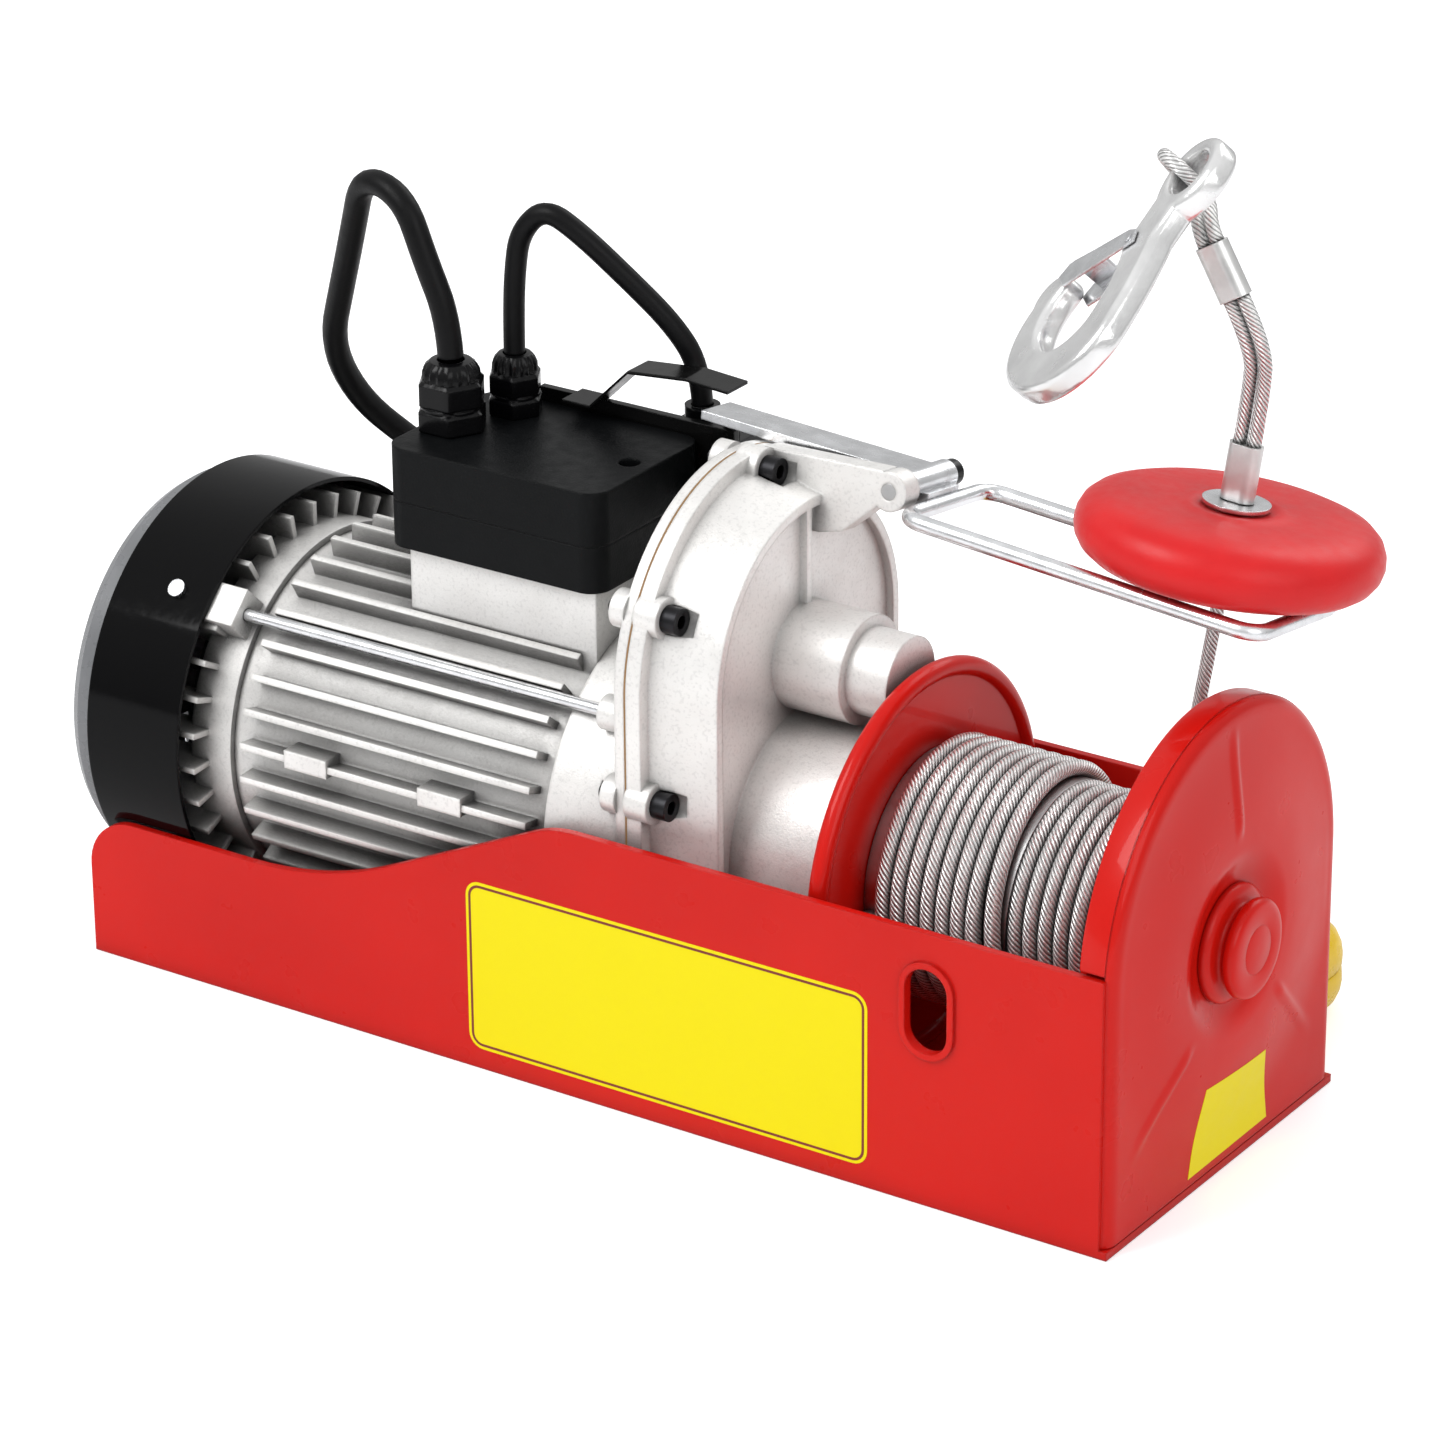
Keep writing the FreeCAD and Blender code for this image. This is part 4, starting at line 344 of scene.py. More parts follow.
# %% Plated and machined steel
def bright_steel(name, colour, low, high, cloud=90, depth=0.0001, metal=1.0):
    finish = Finish(name, colour, metal=metal, rough=(low + high) / 2)
    finish.rounded(0.0006)
    finish.relief(finish.noise(500, 2), depth, 0.3)
    darker = tuple(c * 0.82 for c in colour)
    tint = finish.colours(finish.noise(cloud, 4), darker, colour)
    # painted shade: the colour is darkened where the surface faces itself closely
    tint = finish.darken(tint, finish.painted_hollow_shade(0.004, 0.4))
    return finish.paint(tint, finish.spread(finish.noise(130), low, high))


ZINC = bright_steel("zinc_plate", (0.93, 0.94, 0.96), 0.18, 0.32)
FORGED = bright_steel("plated_forging", (0.97, 0.97, 0.97), 0.14, 0.28, 45, 0.0003, metal=0.8)
STEEL = bright_steel("machined_steel", (0.6, 0.6, 0.6), 0.28, 0.42)
CORE = bright_steel("core_steel", (0.3, 0.3, 0.31), 0.4, 0.6)
SLEEVE = bright_steel("pressed_aluminium", (0.8, 0.8, 0.79), 0.3, 0.45)
BLACK_STEEL = bright_steel("black_oxide", (0.035, 0.035, 0.038), 0.3, 0.45)
print("made six steels")

# %% [markdown]
# ## Black and grey coatings, plastics and rubber
# The cowl is stove enamelled black and mirrors the studio. The guard in its end is a grey satin plastic.
# The terminal box, the glands and the switch are moulded with a fine spark texture, and the cables are matt
# rubber.


# %% Coatings, plastics and rubber
def coating(name, colour, low, high, grain=0.0, coat=0.0, edge=0.0008, vary=0.85, gloss=0.5):
    finish = Finish(name, colour, rough=(low + high) / 2, Coat_Weight=coat, Coat_Roughness=0.06)
    finish.shader.inputs["Specular IOR Level"].default_value = gloss
    finish.rounded(edge)
    finish.relief(finish.noise(1100 if grain else 300, 2), grain or 0.00008, 0.4)
    tint = finish.colours(finish.noise(50, 4), tuple(c * vary for c in colour), colour)
    return finish.paint(tint, finish.spread(finish.noise(200), low, high))


COWL = coating("black_enamel", (0.002, 0.002, 0.0023), 0.07, 0.12, coat=0.12, gloss=0.06)
GUARD = coating("grey_satin", (0.2, 0.205, 0.215), 0.24, 0.34)
BOX = coating("black_moulding", (0.004, 0.0045, 0.005), 0.32, 0.45, grain=0.0002, edge=0.0014, gloss=0.1)
SMOOTH_BLACK = coating("black_nylon", (0.003, 0.003, 0.0035), 0.14, 0.22, gloss=0.2)
BLACK_PAINT = coating("black_paint", (0.004, 0.004, 0.004), 0.16, 0.28, gloss=0.2)
RUBBER = coating("cable_rubber", (0.005, 0.005, 0.0055), 0.34, 0.48, grain=0.00012, gloss=0.14)
WEIGHT = coating("red_rubber", (0.68, 0.012, 0.014), 0.34, 0.46, grain=0.00012, edge=0.001, vary=0.93,
                 gloss=0.3)
YELLOW = coating("yellow_moulding", (0.83, 0.56, 0.01), 0.25, 0.36, grain=0.0001)
PLATE = coating("yellow_foil", (0.85, 0.73, 0.0), 0.3, 0.4, edge=0.0002, vary=1.0, gloss=0.2)
INK = coating("red_ink", (0.22, 0.015, 0.008), 0.35, 0.45, edge=0.0002)
WHITE = coating("white_moulding", (0.72, 0.72, 0.7), 0.35, 0.45)
GREEN = coating("green_moulding", (0.03, 0.3, 0.08), 0.3, 0.4)
STOP_RED = coating("red_moulding", (0.6, 0.02, 0.02), 0.25, 0.35)
COPPER = coating("enamelled_copper", (0.42, 0.13, 0.04), 0.3, 0.45)
GASKET = coating("gasket_paper", (0.33, 0.19, 0.08), 0.7, 0.85, grain=0.0001)
FAN = coating("fan_nylon", (0.02, 0.02, 0.02), 0.4, 0.5)
print("made coatings, plastics and rubber")

# %% [markdown]
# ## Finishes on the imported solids
# A solid whose shape is right stays as it is and only gets its finish. The list pairs each finish with the
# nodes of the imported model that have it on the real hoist, inside pieces too, because the same parts are
# seen when it is taken apart.

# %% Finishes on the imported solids
WORN_BY = {
    RED: ["base_channel", "drum_end_cap", "end_hub", "drum"],
    CAST: ["front_shield", "gear_case", "run_capacitor"],
    FINNED: ["motor_body", "rear_shield"],
    ZINC: ["cover_screws", "tie_rods", "weight_washer", "limit_lever", "lever_loop", "latch_pin",
           "hook_latch"],
    FORGED: ["hook_body"],
    STEEL: ["bearings", "rotor_shaft", "counter_gear", "counter_shaft", "drum_gear", "drum_shaft",
            "pivot_pin",
            "rope_inner_layers", "rope_lower_layer", "rope_outer_layer", "rope_free", "rope_tail",
            "rope_eye"],
    CORE: ["stator_core", "rotor"],
    SLEEVE: ["ferrules"],
    BLACK_STEEL: ["socket_screws"],
    COWL: ["fan_cowl"],
    GUARD: ["fan_guard"],
    BOX: ["terminal_box", "terminal_lid"],
    SMOOTH_BLACK: ["cable_glands", "limit_switch", "limit_plunger", "pin_cap"],
    BLACK_PAINT: ["limit_bracket", "leaf_strip"],
    RUBBER: ["pendant_cable", "cable_coil", "pendant_lead", "limit_cable", "pendant_grommet"],
    WEIGHT: ["stop_weight"],
    YELLOW: ["pendant_shell"],
    WHITE: ["terminal_block", "contact_block", "down_button"],
    GREEN: ["up_button"],
    STOP_RED: ["stop_button"],
    COPPER: ["stator_windings"],
    GASKET: ["gasket"],
    FAN: ["cooling_fan"],
}
dressed = set()
for material, names in WORN_BY.items():
    for name in names:
        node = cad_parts[name]
        node.data.materials.clear()
        node.data.materials.append(material)
        dressed.add(name)
print("dressed", len(dressed), "of", len(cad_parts), "left", set(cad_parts) - dressed)

# %% [markdown]
# ## A small kit for shapes
# Most rebuilt pieces are either a row of outlines joined by a skin, such as a lathe turned or moulded part,
# or a line with a thickness, such as a cable. Both can be modelled by hand; writing them as rows of points
# keeps each size next to its reason and makes every copy alike.


# %% Shape kit
def piece(name, mesh, material, body, node=None, smooth=True):
    """Put a mesh in the scene, give it its finish and, where a body is named, let it ride on that."""
    thing = bpy.data.objects.new(name, mesh)
    scene.collection.objects.link(thing)
    mesh.materials.clear()
    mesh.materials.append(material)
    if smooth:
        mesh.shade_smooth()
    if body:
        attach(thing, body)
    if node:
        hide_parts(node)
    return thing


def skin(name, loops, capped=True):
    """Join equal outlines by faces. Each outline is a list of points in millimetres."""
    count = len(loops[0])
    points = [tuple(v * MM for v in point) for loop in loops for point in loop]
    faces = []
    for i in range(len(loops) - 1):
        for j in range(count):
            k = (j + 1) % count
            faces.append((i * count + j, i * count + k, (i + 1) * count + k, (i + 1) * count + j))
    if capped:
        faces.append(tuple(reversed(range(count))))
        faces.append(tuple((len(loops) - 1) * count + j for j in range(count)))
    mesh = bpy.data.meshes.new(name)
    mesh.from_pydata(points, [], faces)
    work = bmesh.new()
    work.from_mesh(mesh)
    bmesh.ops.recalc_face_normals(work, faces=work.faces)
    work.to_mesh(mesh)
    work.free()
    return mesh


def crease(mesh, degrees=35):
    """Keep edges sharper than an angle sharp in the shading."""
    mesh.shade_smooth()
    work = bmesh.new()
    work.from_mesh(mesh)
    limit = math.radians(degrees)
    for edge in work.edges:
        edge.smooth = len(edge.link_faces) == 2 and edge.calc_face_angle(0) < limit
    work.to_mesh(mesh)
    work.free()
    return mesh


def lathe(name, profile, centre, axis, steps=96, closed=False):
    """Turn (radius, place along the axis) pairs round an axis; a closed profile leaves a hole."""
    axis = Vector(axis).normalized()
    first = axis.orthogonal().normalized()
    second = axis.cross(first)
    loops = []
    for radius, along in profile:
        loop = []
        for i in range(steps):
            angle = 2 * math.pi * i / steps
            way = first * math.cos(angle) + second * math.sin(angle)
            loop.append(Vector(centre) + axis * along + way * radius)
        loops.append(loop)
    if closed:
        loops.append(loops[0])
    mesh = skin(name, loops, capped=not closed)
    if closed:
        work = bmesh.new()
        work.from_mesh(mesh)
        bmesh.ops.remove_doubles(work, verts=work.verts, dist=1e-6)
        bmesh.ops.recalc_face_normals(work, faces=work.faces)
        work.to_mesh(mesh)
        work.free()
    return mesh


def nurbs(name, points, diameter=0.0, resolution=6):
    """A smooth curve whose control points are the route, in millimetres."""
    curve = bpy.data.curves.new(name, "CURVE")
    curve.dimensions = "3D"
    curve.resolution_u = resolution
    curve.bevel_depth = diameter / 2 * MM
    curve.bevel_resolution = 5
    curve.use_fill_caps = True
    line = curve.splines.new("NURBS")
    line.points.add(len(points) - 1)
    for spot, place in zip(line.points, points):
        spot.co = (*(v * MM for v in place), 1)
    line.order_u = 3
    line.use_endpoint_u = True
    thing = bpy.data.objects.new(name, curve)
    scene.collection.objects.link(thing)
    return thing


def line_of(points, resolution=10):
    """The points along a route's smooth curve, in millimetres."""
    thing = nurbs("route", points, 0.0, resolution)
    mesh = bpy.data.meshes.new_from_object(thing)
    found = [v.co / MM for v in mesh.vertices]
    bpy.data.objects.remove(thing)
    bpy.data.meshes.remove(mesh)
    return found


print("shape kit ready")

# %% [markdown]
# ## The cables
# The pendant cable leaves the large gland straight up, turns over in a tight loop, hangs down behind the
# motor and reaches the floor. What the photograph does not show lies in a neat coil behind the hoist and
# ends in the pendant. The short jumper runs from the small gland to the limit switch. A smooth curve
# through few points bends as rubber does; many points would make it look like bent wire.

# %% Cable routes
CABLE = 9.5
JUMPER = 8.0
CABLE_ROUTE = [(-97, -11, 241), (-98, -11, 256), (-106, -12, 275), (-115, -12, 298), (-137, -7, 301),
               (-149, 2, 276), (-161, 10, 250), (-173, 17, 222), (-170, 29, 197), (-160, 48, 176),
               (-152, 74, 152), (-146, 94, 122), (-141, 103, 86), (-139, 108, 52), (-136, 114, 29),
               (-128, 120, 13), (-115, 126.5, 5.4), (-93, 130, 5.4), (-71.5, 130, 5.4)]
LEAD_ROUTE = [(-36, 129.3, 15.5), (-4, 122, 12.6), (30, 115, 17), (61, 115, 17)]
JUMPER_ROUTE = [(-87, 14, 237), (-87, 14, 251), (-86, 14, 268), (-83.5, 14, 283), (-73, 15, 294),
                (-60, 18, 286), (-46, 27, 269), (-32, 35, 252), (-24.5, 40.5, 236), (-24, 41.5, 221.5)]
COIL_X, COIL_Y, COIL_RADIUS, COIL_STEP = -62, 185.87, 55.9, 10.4
COIL_LOW, COIL_RISE = 5.4, 10.1
QUARTERS_IN = 7
PER_QUARTER = 3


def coil_route():
    """Two layers of turns: in along the lower one, up, and out along the upper one."""
    total = 2 * QUARTERS_IN + 2
    spots = []
    for i in range(1, total * PER_QUARTER):
        k = i / PER_QUARTER
        climb = min(1, max(0, (k - QUARTERS_IN) / 2))
        radius = COIL_RADIUS - COIL_STEP * min(k, total - k, QUARTERS_IN + 1) / 4
        radius /= math.cos(math.pi / 4 / PER_QUARTER)
        angle = math.pi / 2 * (k - 1)
        spots.append((COIL_X + radius * math.cos(angle), COIL_Y + radius * math.sin(angle),
                      COIL_LOW + climb * COIL_RISE))
    return spots


def curve_length(points):
    """The sum of a line's short steps."""
    return sum((b - a).length for a, b in zip(points, points[1:]))


route = CABLE_ROUTE + coil_route() + LEAD_ROUTE
cable = nurbs("pendant_cord", route, CABLE)
cable.data.materials.append(RUBBER)
cable_length = curve_length(line_of(route))
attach(cable, "frame")
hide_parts("pendant_cable", "cable_coil", "pendant_lead")
jumper = nurbs("switch_cord", JUMPER_ROUTE, JUMPER)
jumper.data.materials.append(RUBBER)
jumper_length = curve_length(line_of(JUMPER_ROUTE))
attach(jumper, "frame")
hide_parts("limit_cable")
print("pendant cable", round(cable_length), "mm, jumper", round(jumper_length), "mm")

# %% [markdown]
# ## Wire rope
# The rope is laid from many thin wires, so from a step away it shows fine slanted lines and not single
# strands. The lines can be drawn with real geometry or with a relief. Here every rope is a round skin with
# two coordinates, how far round and how far along, and the finish makes the wires from them: a sine wave
# that climbs as it goes round, raises the wires and paints shade into the grooves between them.


# %% Rope skin and its finish
ROPE = 5.0
WIRES_ROUND = 9
WIRE_STEP = 1.9
SECTION = 16
RING_STEP, FINE_STEP = 1.9, 1.4


def rope_finish():
    finish = Finish("wire_rope", (0.9, 0.9, 0.89), metal=0.75, rough=0.34)
    chart = finish.nodes.new("ShaderNodeUVMap")
    chart.uv_map = "lay"
    axes = finish.nodes.new("ShaderNodeSeparateXYZ")
    finish.links.new(chart.outputs["UV"], axes.inputs[0])
    slant, phase, wave = (finish.nodes.new("ShaderNodeMath") for _ in range(3))
    slant.operation, phase.operation, wave.operation = "MULTIPLY_ADD", "MULTIPLY", "SINE"
    slant.inputs[1].default_value = WIRES_ROUND
    phase.inputs[1].default_value = 2 * math.pi
    finish.links.new(axes.outputs["X"], slant.inputs[0])
    finish.links.new(axes.outputs["Y"], slant.inputs[2])
    finish.links.new(slant.outputs[0], phase.inputs[0])
    finish.links.new(phase.outputs[0], wave.inputs[0])
    crest = finish.spread(wave.outputs[0], 0, 1, -1, 1)
    finish.relief(crest, 0.0004, 0.9)
    # painted shade: the grooves between the wires are coloured dark
    tint = finish.colours(crest, (0.3, 0.29, 0.285), (1, 1, 0.99), 0.0, 0.45)
    tint = finish.darken(tint, finish.colours(finish.noise(300, 3), (0.85, 0.85, 0.85), (1, 1, 1)))
    # painted shade: the colour is darkened where the rope faces itself closely
    tint = finish.darken(tint, finish.painted_hollow_shade(0.004, 0.3))
    return finish.paint(tint, finish.spread(finish.noise(500), 0.28, 0.42))


WIRE = rope_finish()


def evenly(points, step):
    """Spread points along a line at one distance."""
    spots = [points[0]]
    left = step
    for a, b in zip(points, points[1:]):
        run = (b - a).length
        done = 0.0
        while run - done >= left:
            done += left
            spots.append(a.lerp(b, done / run))
            left = step
        left -= run - done
    if (spots[-1] - points[-1]).length > step * 0.3:
        spots.append(points[-1])
    return spots


def rope_mesh(name, centreline, step=RING_STEP, thick=ROPE - 0.06):
    """Draw a round skin along a line, with a map of how far round and how far along each corner lies."""
    spots = evenly(centreline, step)
    points, faces, corners = [], [], []
    side = None
    for i, spot in enumerate(spots):
        ahead = (spots[min(i + 1, len(spots) - 1)] - spots[max(i - 1, 0)]).normalized()
        side = ahead.orthogonal() if side is None else side - ahead * side.dot(ahead)
        side.normalize()
        other = ahead.cross(side)
        for j in range(SECTION):
            angle = 2 * math.pi * j / SECTION
            points.append((spot + (side * math.cos(angle) + other * math.sin(angle)) * thick / 2) * MM)
    for i in range(len(spots) - 1):
        for j in range(SECTION):
            k = (j + 1) % SECTION
            faces.append((i * SECTION + j, i * SECTION + k, (i + 1) * SECTION + k, (i + 1) * SECTION + j))
            low, high = i * step / WIRE_STEP, (i + 1) * step / WIRE_STEP
            first, second = j / SECTION, (j + 1) / SECTION
            corners += [first, low, second, low, second, high, first, high]
    faces.append(tuple(reversed(range(SECTION))))
    faces.append(tuple((len(spots) - 1) * SECTION + j for j in range(SECTION)))
    corners += [0.0] * (4 * SECTION)
    mesh = bpy.data.meshes.new(name)
    mesh.from_pydata(points, [], faces)
    mesh.uv_layers.new(name="lay").data.foreach_set("uv", corners)
    return mesh


print("rope section", SECTION, "points, one wire each", WIRE_STEP, "mm")

# %% [markdown]
# ## The wound rope
# The upper layer winds from the drum's left flange to the right, drifts off in its last turns and leaves
# the drum at the back, straight towards the stop weight. The lower layer shows at the drum's right end.
# Each is one unbroken rope, worked out from the drum's radius, the pitch and the number of turns. Under
# load the turns press each other flat until they touch, so they are drawn a little thicker than the free
# rope.

# %% The wound rope
AXIS = 88.0
UPPER, LOWER, PITCH = 45.0, 39.4, 6.1
UPPER_TURNS, LOWER_TURNS = 8.5, 6.8
UPPER_START, LOWER_START = 102.5, 155.6
PRESSED = 5.8
LEAVE_X = 171.0
DRIFT_QUARTERS = 3
STEPS_A_TURN = 64
LEAN, SLOPE = math.radians(8.6), math.radians(4.5)
HALF_WEIGHT, HALF_ROD, SEAT = 12.5, 3.0, 0.3
ALONG_LOOP, ACROSS_LOOP = 106.1, 39.8
BEND_BELOW = 19.5


def lever_way(x, y, z):
    """A direction given in the limit lever's own axes, which lean away from the camera."""
    return Vector((x, y * math.cos(LEAN) + z * math.sin(LEAN), z * math.cos(LEAN) - y * math.sin(LEAN)))


LEVER_PIVOT = Vector((76, 18, 218.1))
LOOP_CORNER = LEVER_PIVOT + lever_way(9.5, -15, -6)
loop_forth, loop_across = lever_way(math.cos(SLOPE), 0, -math.sin(SLOPE)), lever_way(0, 1, 0)
STAND = loop_forth.cross(loop_across)
WEIGHT_AT = (LOOP_CORNER + loop_forth * ALONG_LOOP + loop_across * ACROSS_LOOP
             + STAND * (HALF_WEIGHT + HALF_ROD + SEAT))
BEND = WEIGHT_AT - STAND * BEND_BELOW
reach = math.hypot(BEND.y, BEND.z - AXIS)
leave_angle = math.atan2(BEND.z - AXIS, BEND.y) - math.acos(UPPER / reach)
LEAVE = Vector((LEAVE_X, UPPER * math.cos(leave_angle), AXIS + UPPER * math.sin(leave_angle)))
ROPE_UP = (BEND - LEAVE).normalized()


def upper_line():
    """From the flange to where the rope leaves the drum, and one diameter on."""
    quarters = UPPER_TURNS * 4
    drift = LEAVE_X - UPPER_START - PITCH * UPPER_TURNS
    spots = []
    steps = int(UPPER_TURNS * STEPS_A_TURN)
    for i in range(steps + 1):
        k = quarters * i / steps
        angle = leave_angle - math.pi / 2 * (quarters - k)
        x = UPPER_START + PITCH * k / 4 + drift * max(0, 1 - (quarters - k) / DRIFT_QUARTERS) ** 2
        spots.append(Vector((x, UPPER * math.cos(angle), AXIS + UPPER * math.sin(angle))))
    return spots + [spots[-1] + ROPE_UP * ROPE]


def lower_line():
    """An even helix up to the drum's right end."""
    steps = int(LOWER_TURNS * STEPS_A_TURN)
    spots = []
    for i in range(steps + 1):
        angle = 2 * math.pi * LOWER_TURNS * i / steps
        x = LOWER_START + PITCH * angle / 2 / math.pi
        spots.append(Vector((x, LOWER * math.cos(angle), AXIS + LOWER * math.sin(angle))))
    return spots


upper_mesh = rope_mesh("upper_turns", upper_line(), thick=PRESSED)
lower_mesh = rope_mesh("lower_turns", lower_line(), thick=PRESSED)
piece("upper_turns", upper_mesh, WIRE, "drum_set", "rope_outer_layer")
piece("lower_turns", lower_mesh, WIRE, "drum_set", "rope_lower_layer")
print("upper turns", len(upper_mesh.vertices), "points, lower turns", len(lower_mesh.vertices))

# %% [markdown]
# ## The free rope, the doubled tail and the eye
# The free rope is taut between drum and stop weight. When the drum pays out, the stretch grows. Above the
# weight the rope is doubled: two strands side by side run from the lower sleeve to the upper one and on
# round the ring of the hook.

# %% Free rope, tail and eye
WASHER = 1.5
BEND_LENGTH = 15
free_start = LEAVE + ROPE_UP * ROPE
free_end = WEIGHT_AT + STAND * (HALF_WEIGHT + WASHER + 2 * SEAT)
free_route = [free_start, BEND - ROPE_UP * BEND_LENGTH, BEND, BEND + STAND * BEND_LENGTH, free_end]
free_line = line_of(free_route, 20)
free_rope = piece("free_rope", rope_mesh("free_rope", free_line), WIRE, None, "rope_free")
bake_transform(free_rope)

SLEEVE_LENGTH = 20.0
STRAND_SIDE = ROPE / 2 + SEAT
TAIL_BOW = 0.36
TILT = Vector((-0.5, 0, 0.866)).normalized()
HOOK_EYE = Vector((175.7, 44, 342))
low_foot = WEIGHT_AT + STAND * (HALF_WEIGHT + SEAT + WASHER + SEAT)
low_top = low_foot + STAND * SLEEVE_LENGTH
SLEEVE_FROM_EYE = Vector((15.8, 0, -39.1))
high_foot = HOOK_EYE + SLEEVE_FROM_EYE
high_top = high_foot + TILT * SLEEVE_LENGTH


def sideways(way):
    """The direction in which two strands lie side by side in a sleeve."""
    return way.cross(Vector((0, 1, 0))).normalized()


for sign, name in ((-1, "tail_left"), (1, "tail_right")):
    a = low_top + sideways(STAND) * STRAND_SIDE * sign
    b = high_foot + sideways(TILT) * STRAND_SIDE * sign
    bow = (b - a).length * TAIL_BOW
    strand = rope_mesh("tail", line_of([a, a + STAND * bow, b - TILT * bow, b], 30))
    piece(name, strand, WIRE, "load_end", "rope_tail")

HOOK_DOWN = Vector((-0.333, -0.612, -0.718)).normalized()
HOOK_OUT = HOOK_DOWN.cross(Vector((-0.757, 0.628, -0.183))).normalized()
HOOK_SIDE = HOOK_OUT.cross(HOOK_DOWN).normalized()


def hook_point(down, side, out=0.0):
    """A point of the hook: down from the eye, to the latch side, and away from the camera."""
    return HOOK_EYE + HOOK_DOWN * down + HOOK_SIDE * side + HOOK_OUT * out


eye_a = high_top - sideways(TILT) * STRAND_SIDE
eye_b = high_top + sideways(TILT) * STRAND_SIDE
EYE_ROUTE = [eye_a, eye_a + TILT * 6, hook_point(1.5, 4.6, 9.5), hook_point(0, 5, -9.8),
             hook_point(-1, 18.8, -9.8), hook_point(1, 19.3, 9.8), eye_b + TILT * 6, eye_b]
piece("rope_bight", rope_mesh("rope_bight", line_of(EYE_ROUTE, 24), FINE_STEP), WIRE, "load_end", "rope_eye")
print("free rope", round((free_end - free_start).length), "mm")

# %% [markdown]
# ## The stop weight
# The stop weight is a thick rubber disc with a fully rounded rim, a slightly crowned top and a thin raised
# ring round its hole. A turned profile says all that with a dozen points.

# %% The stop weight
WEIGHT_PROFILE = [(6, -12.3), (34, -12.3), (42, -11.8), (47.5, -10.2), (51, -7.6), (53.2, -4.2), (54, -0.6),
                  (53.6, 3), (52, 6.6), (49, 9.4), (44.5, 11.1), (36, 11.9), (24, 12.2), (18.4, 12.2),
                  (17.6, 12.5), (14.6, 12.5), (13.8, 11.9), (6, 11.9)]
disc = crease(lathe("stop_disc", WEIGHT_PROFILE, WEIGHT_AT, STAND, 128, closed=True), 50)
piece("stop_disc", disc, WEIGHT, "weight_set", "stop_weight", smooth=False)
print("stop weight", len(disc.vertices), "points")

# %% [markdown]
# ## The hook
# The hook is a flat forging with rounded edges. Its outline is a chain of arcs in its own plane. A filled
# flat curve with an extrusion and a round bevel turns that outline and the ring's hole into a forging in
# one step.


# %% The hook
def arc_points(first, middle, last, steps=14):
    """Points on the circle through three points, without the last one."""
    (ax, ay), (bx, by), (cx, cy) = first, middle, last
    d = 2 * (ax * (by - cy) + bx * (cy - ay) + cx * (ay - by))
    aa, bb, cc = ax * ax + ay * ay, bx * bx + by * by, cx * cx + cy * cy
    ux = (aa * (by - cy) + bb * (cy - ay) + cc * (ay - by)) / d
    uy = (aa * (cx - bx) + bb * (ax - cx) + cc * (bx - ax)) / d
    radius = math.hypot(ax - ux, ay - uy)
    start = math.atan2(ay - uy, ax - ux)
    half = (math.atan2(by - uy, bx - ux) - start) % (2 * math.pi)
    full = (math.atan2(cy - uy, cx - ux) - start) % (2 * math.pi)
    if half > full:
        full -= 2 * math.pi
    return [(ux + radius * math.cos(start + full * i / steps),
             uy + radius * math.sin(start + full * i / steps))
            for i in range(steps)]


HOOK_ARCS = [((-15, 0), (-10.6, -10.6), (0, -15)), ((0, -15), (9.5, -12.4), (14, -9)), None,
             ((24, -10.5), (44, -20.5), (62, -26)), ((62, -26), (84, -18), (93, 6)),
             ((93, 6), (84.5, 29), (66, 38)), ((66, 38), (57, 40.5), (50, 36)),
             ((50, 36), (50.5, 29), (56, 27)), ((56, 27), (70.5, 21), (76, 10)),
             ((76, 10), (72, -3.5), (60, -8)), ((60, -8), (47, -4), (34, 6)), None,
             ((14, 9), (9.5, 12.4), (0, 15)), ((0, 15), (-10.6, 10.6), (-15, 0))]
HOOK_LINES = {2: (14, -9), 11: (34, 6)}
HOOK_THICK, HOOK_ROUND, EYE_HOLE, HOLE_STEPS = 9.5, 2.6, 8.5, 40


def hook_mesh():
    """Fill the outline and its hole, give them thickness and round edges, and put them in place."""
    outline = []
    for i, arc in enumerate(HOOK_ARCS):
        outline += [HOOK_LINES[i]] if arc is None else arc_points(*arc)
    turns = [2 * math.pi * i / HOLE_STEPS for i in range(HOLE_STEPS)]
    hole = [(EYE_HOLE * math.cos(t), -EYE_HOLE * math.sin(t)) for t in turns]
    curve = bpy.data.curves.new("hook_outline", "CURVE")
    curve.dimensions = "2D"
    curve.fill_mode = "BOTH"
    curve.bevel_depth = HOOK_ROUND * MM
    curve.bevel_resolution = 4
    curve.offset = -HOOK_ROUND * MM
    curve.extrude = (HOOK_THICK / 2 - HOOK_ROUND) * MM
    for ring in (outline, hole):
        line = curve.splines.new("POLY")
        line.points.add(len(ring) - 1)
        for spot, place in zip(line.points, ring):
            spot.co = (place[0] * MM, place[1] * MM, 0, 1)
        line.use_cyclic_u = True
    thing = bpy.data.objects.new("hook_outline", curve)
    scene.collection.objects.link(thing)
    mesh = bpy.data.meshes.new_from_object(thing)
    bpy.data.objects.remove(thing)
    facing = Matrix((HOOK_DOWN, HOOK_SIDE, HOOK_OUT)).transposed().to_4x4()
    mesh.transform(Matrix.Translation(HOOK_EYE * MM) @ facing)
    return mesh


hook = piece("forged_hook", crease(hook_mesh(), 30), FORGED, "hook_set", "hook_body", smooth=False)
print("hook", len(hook.data.vertices), "points")

# %% [markdown]
# ## The pressed end cap
# The drum end is closed by a pressed plate: its edge rolls over into a skirt, its middle bulges a little
# and dips again to the hub, and three narrow ribs run out from there. The plate is a grid of outlines from
# the hub's hole to the arch, lifted by a smooth relief. The hub in the dip is a turned part with a narrow
# neck and a round nose.

# %% The pressed end cap
CAP_FACE, CAP_BACK = 220.0, 217.0
ARCH_RADIUS, ARCH_CENTRE, ARCH_FOOT = 78.0, 97.0, 3.0
CAP_HOLE = 20.2
ARCH_STEPS, FOOT_STEPS, SIDE_STEPS = 180, 60, 36


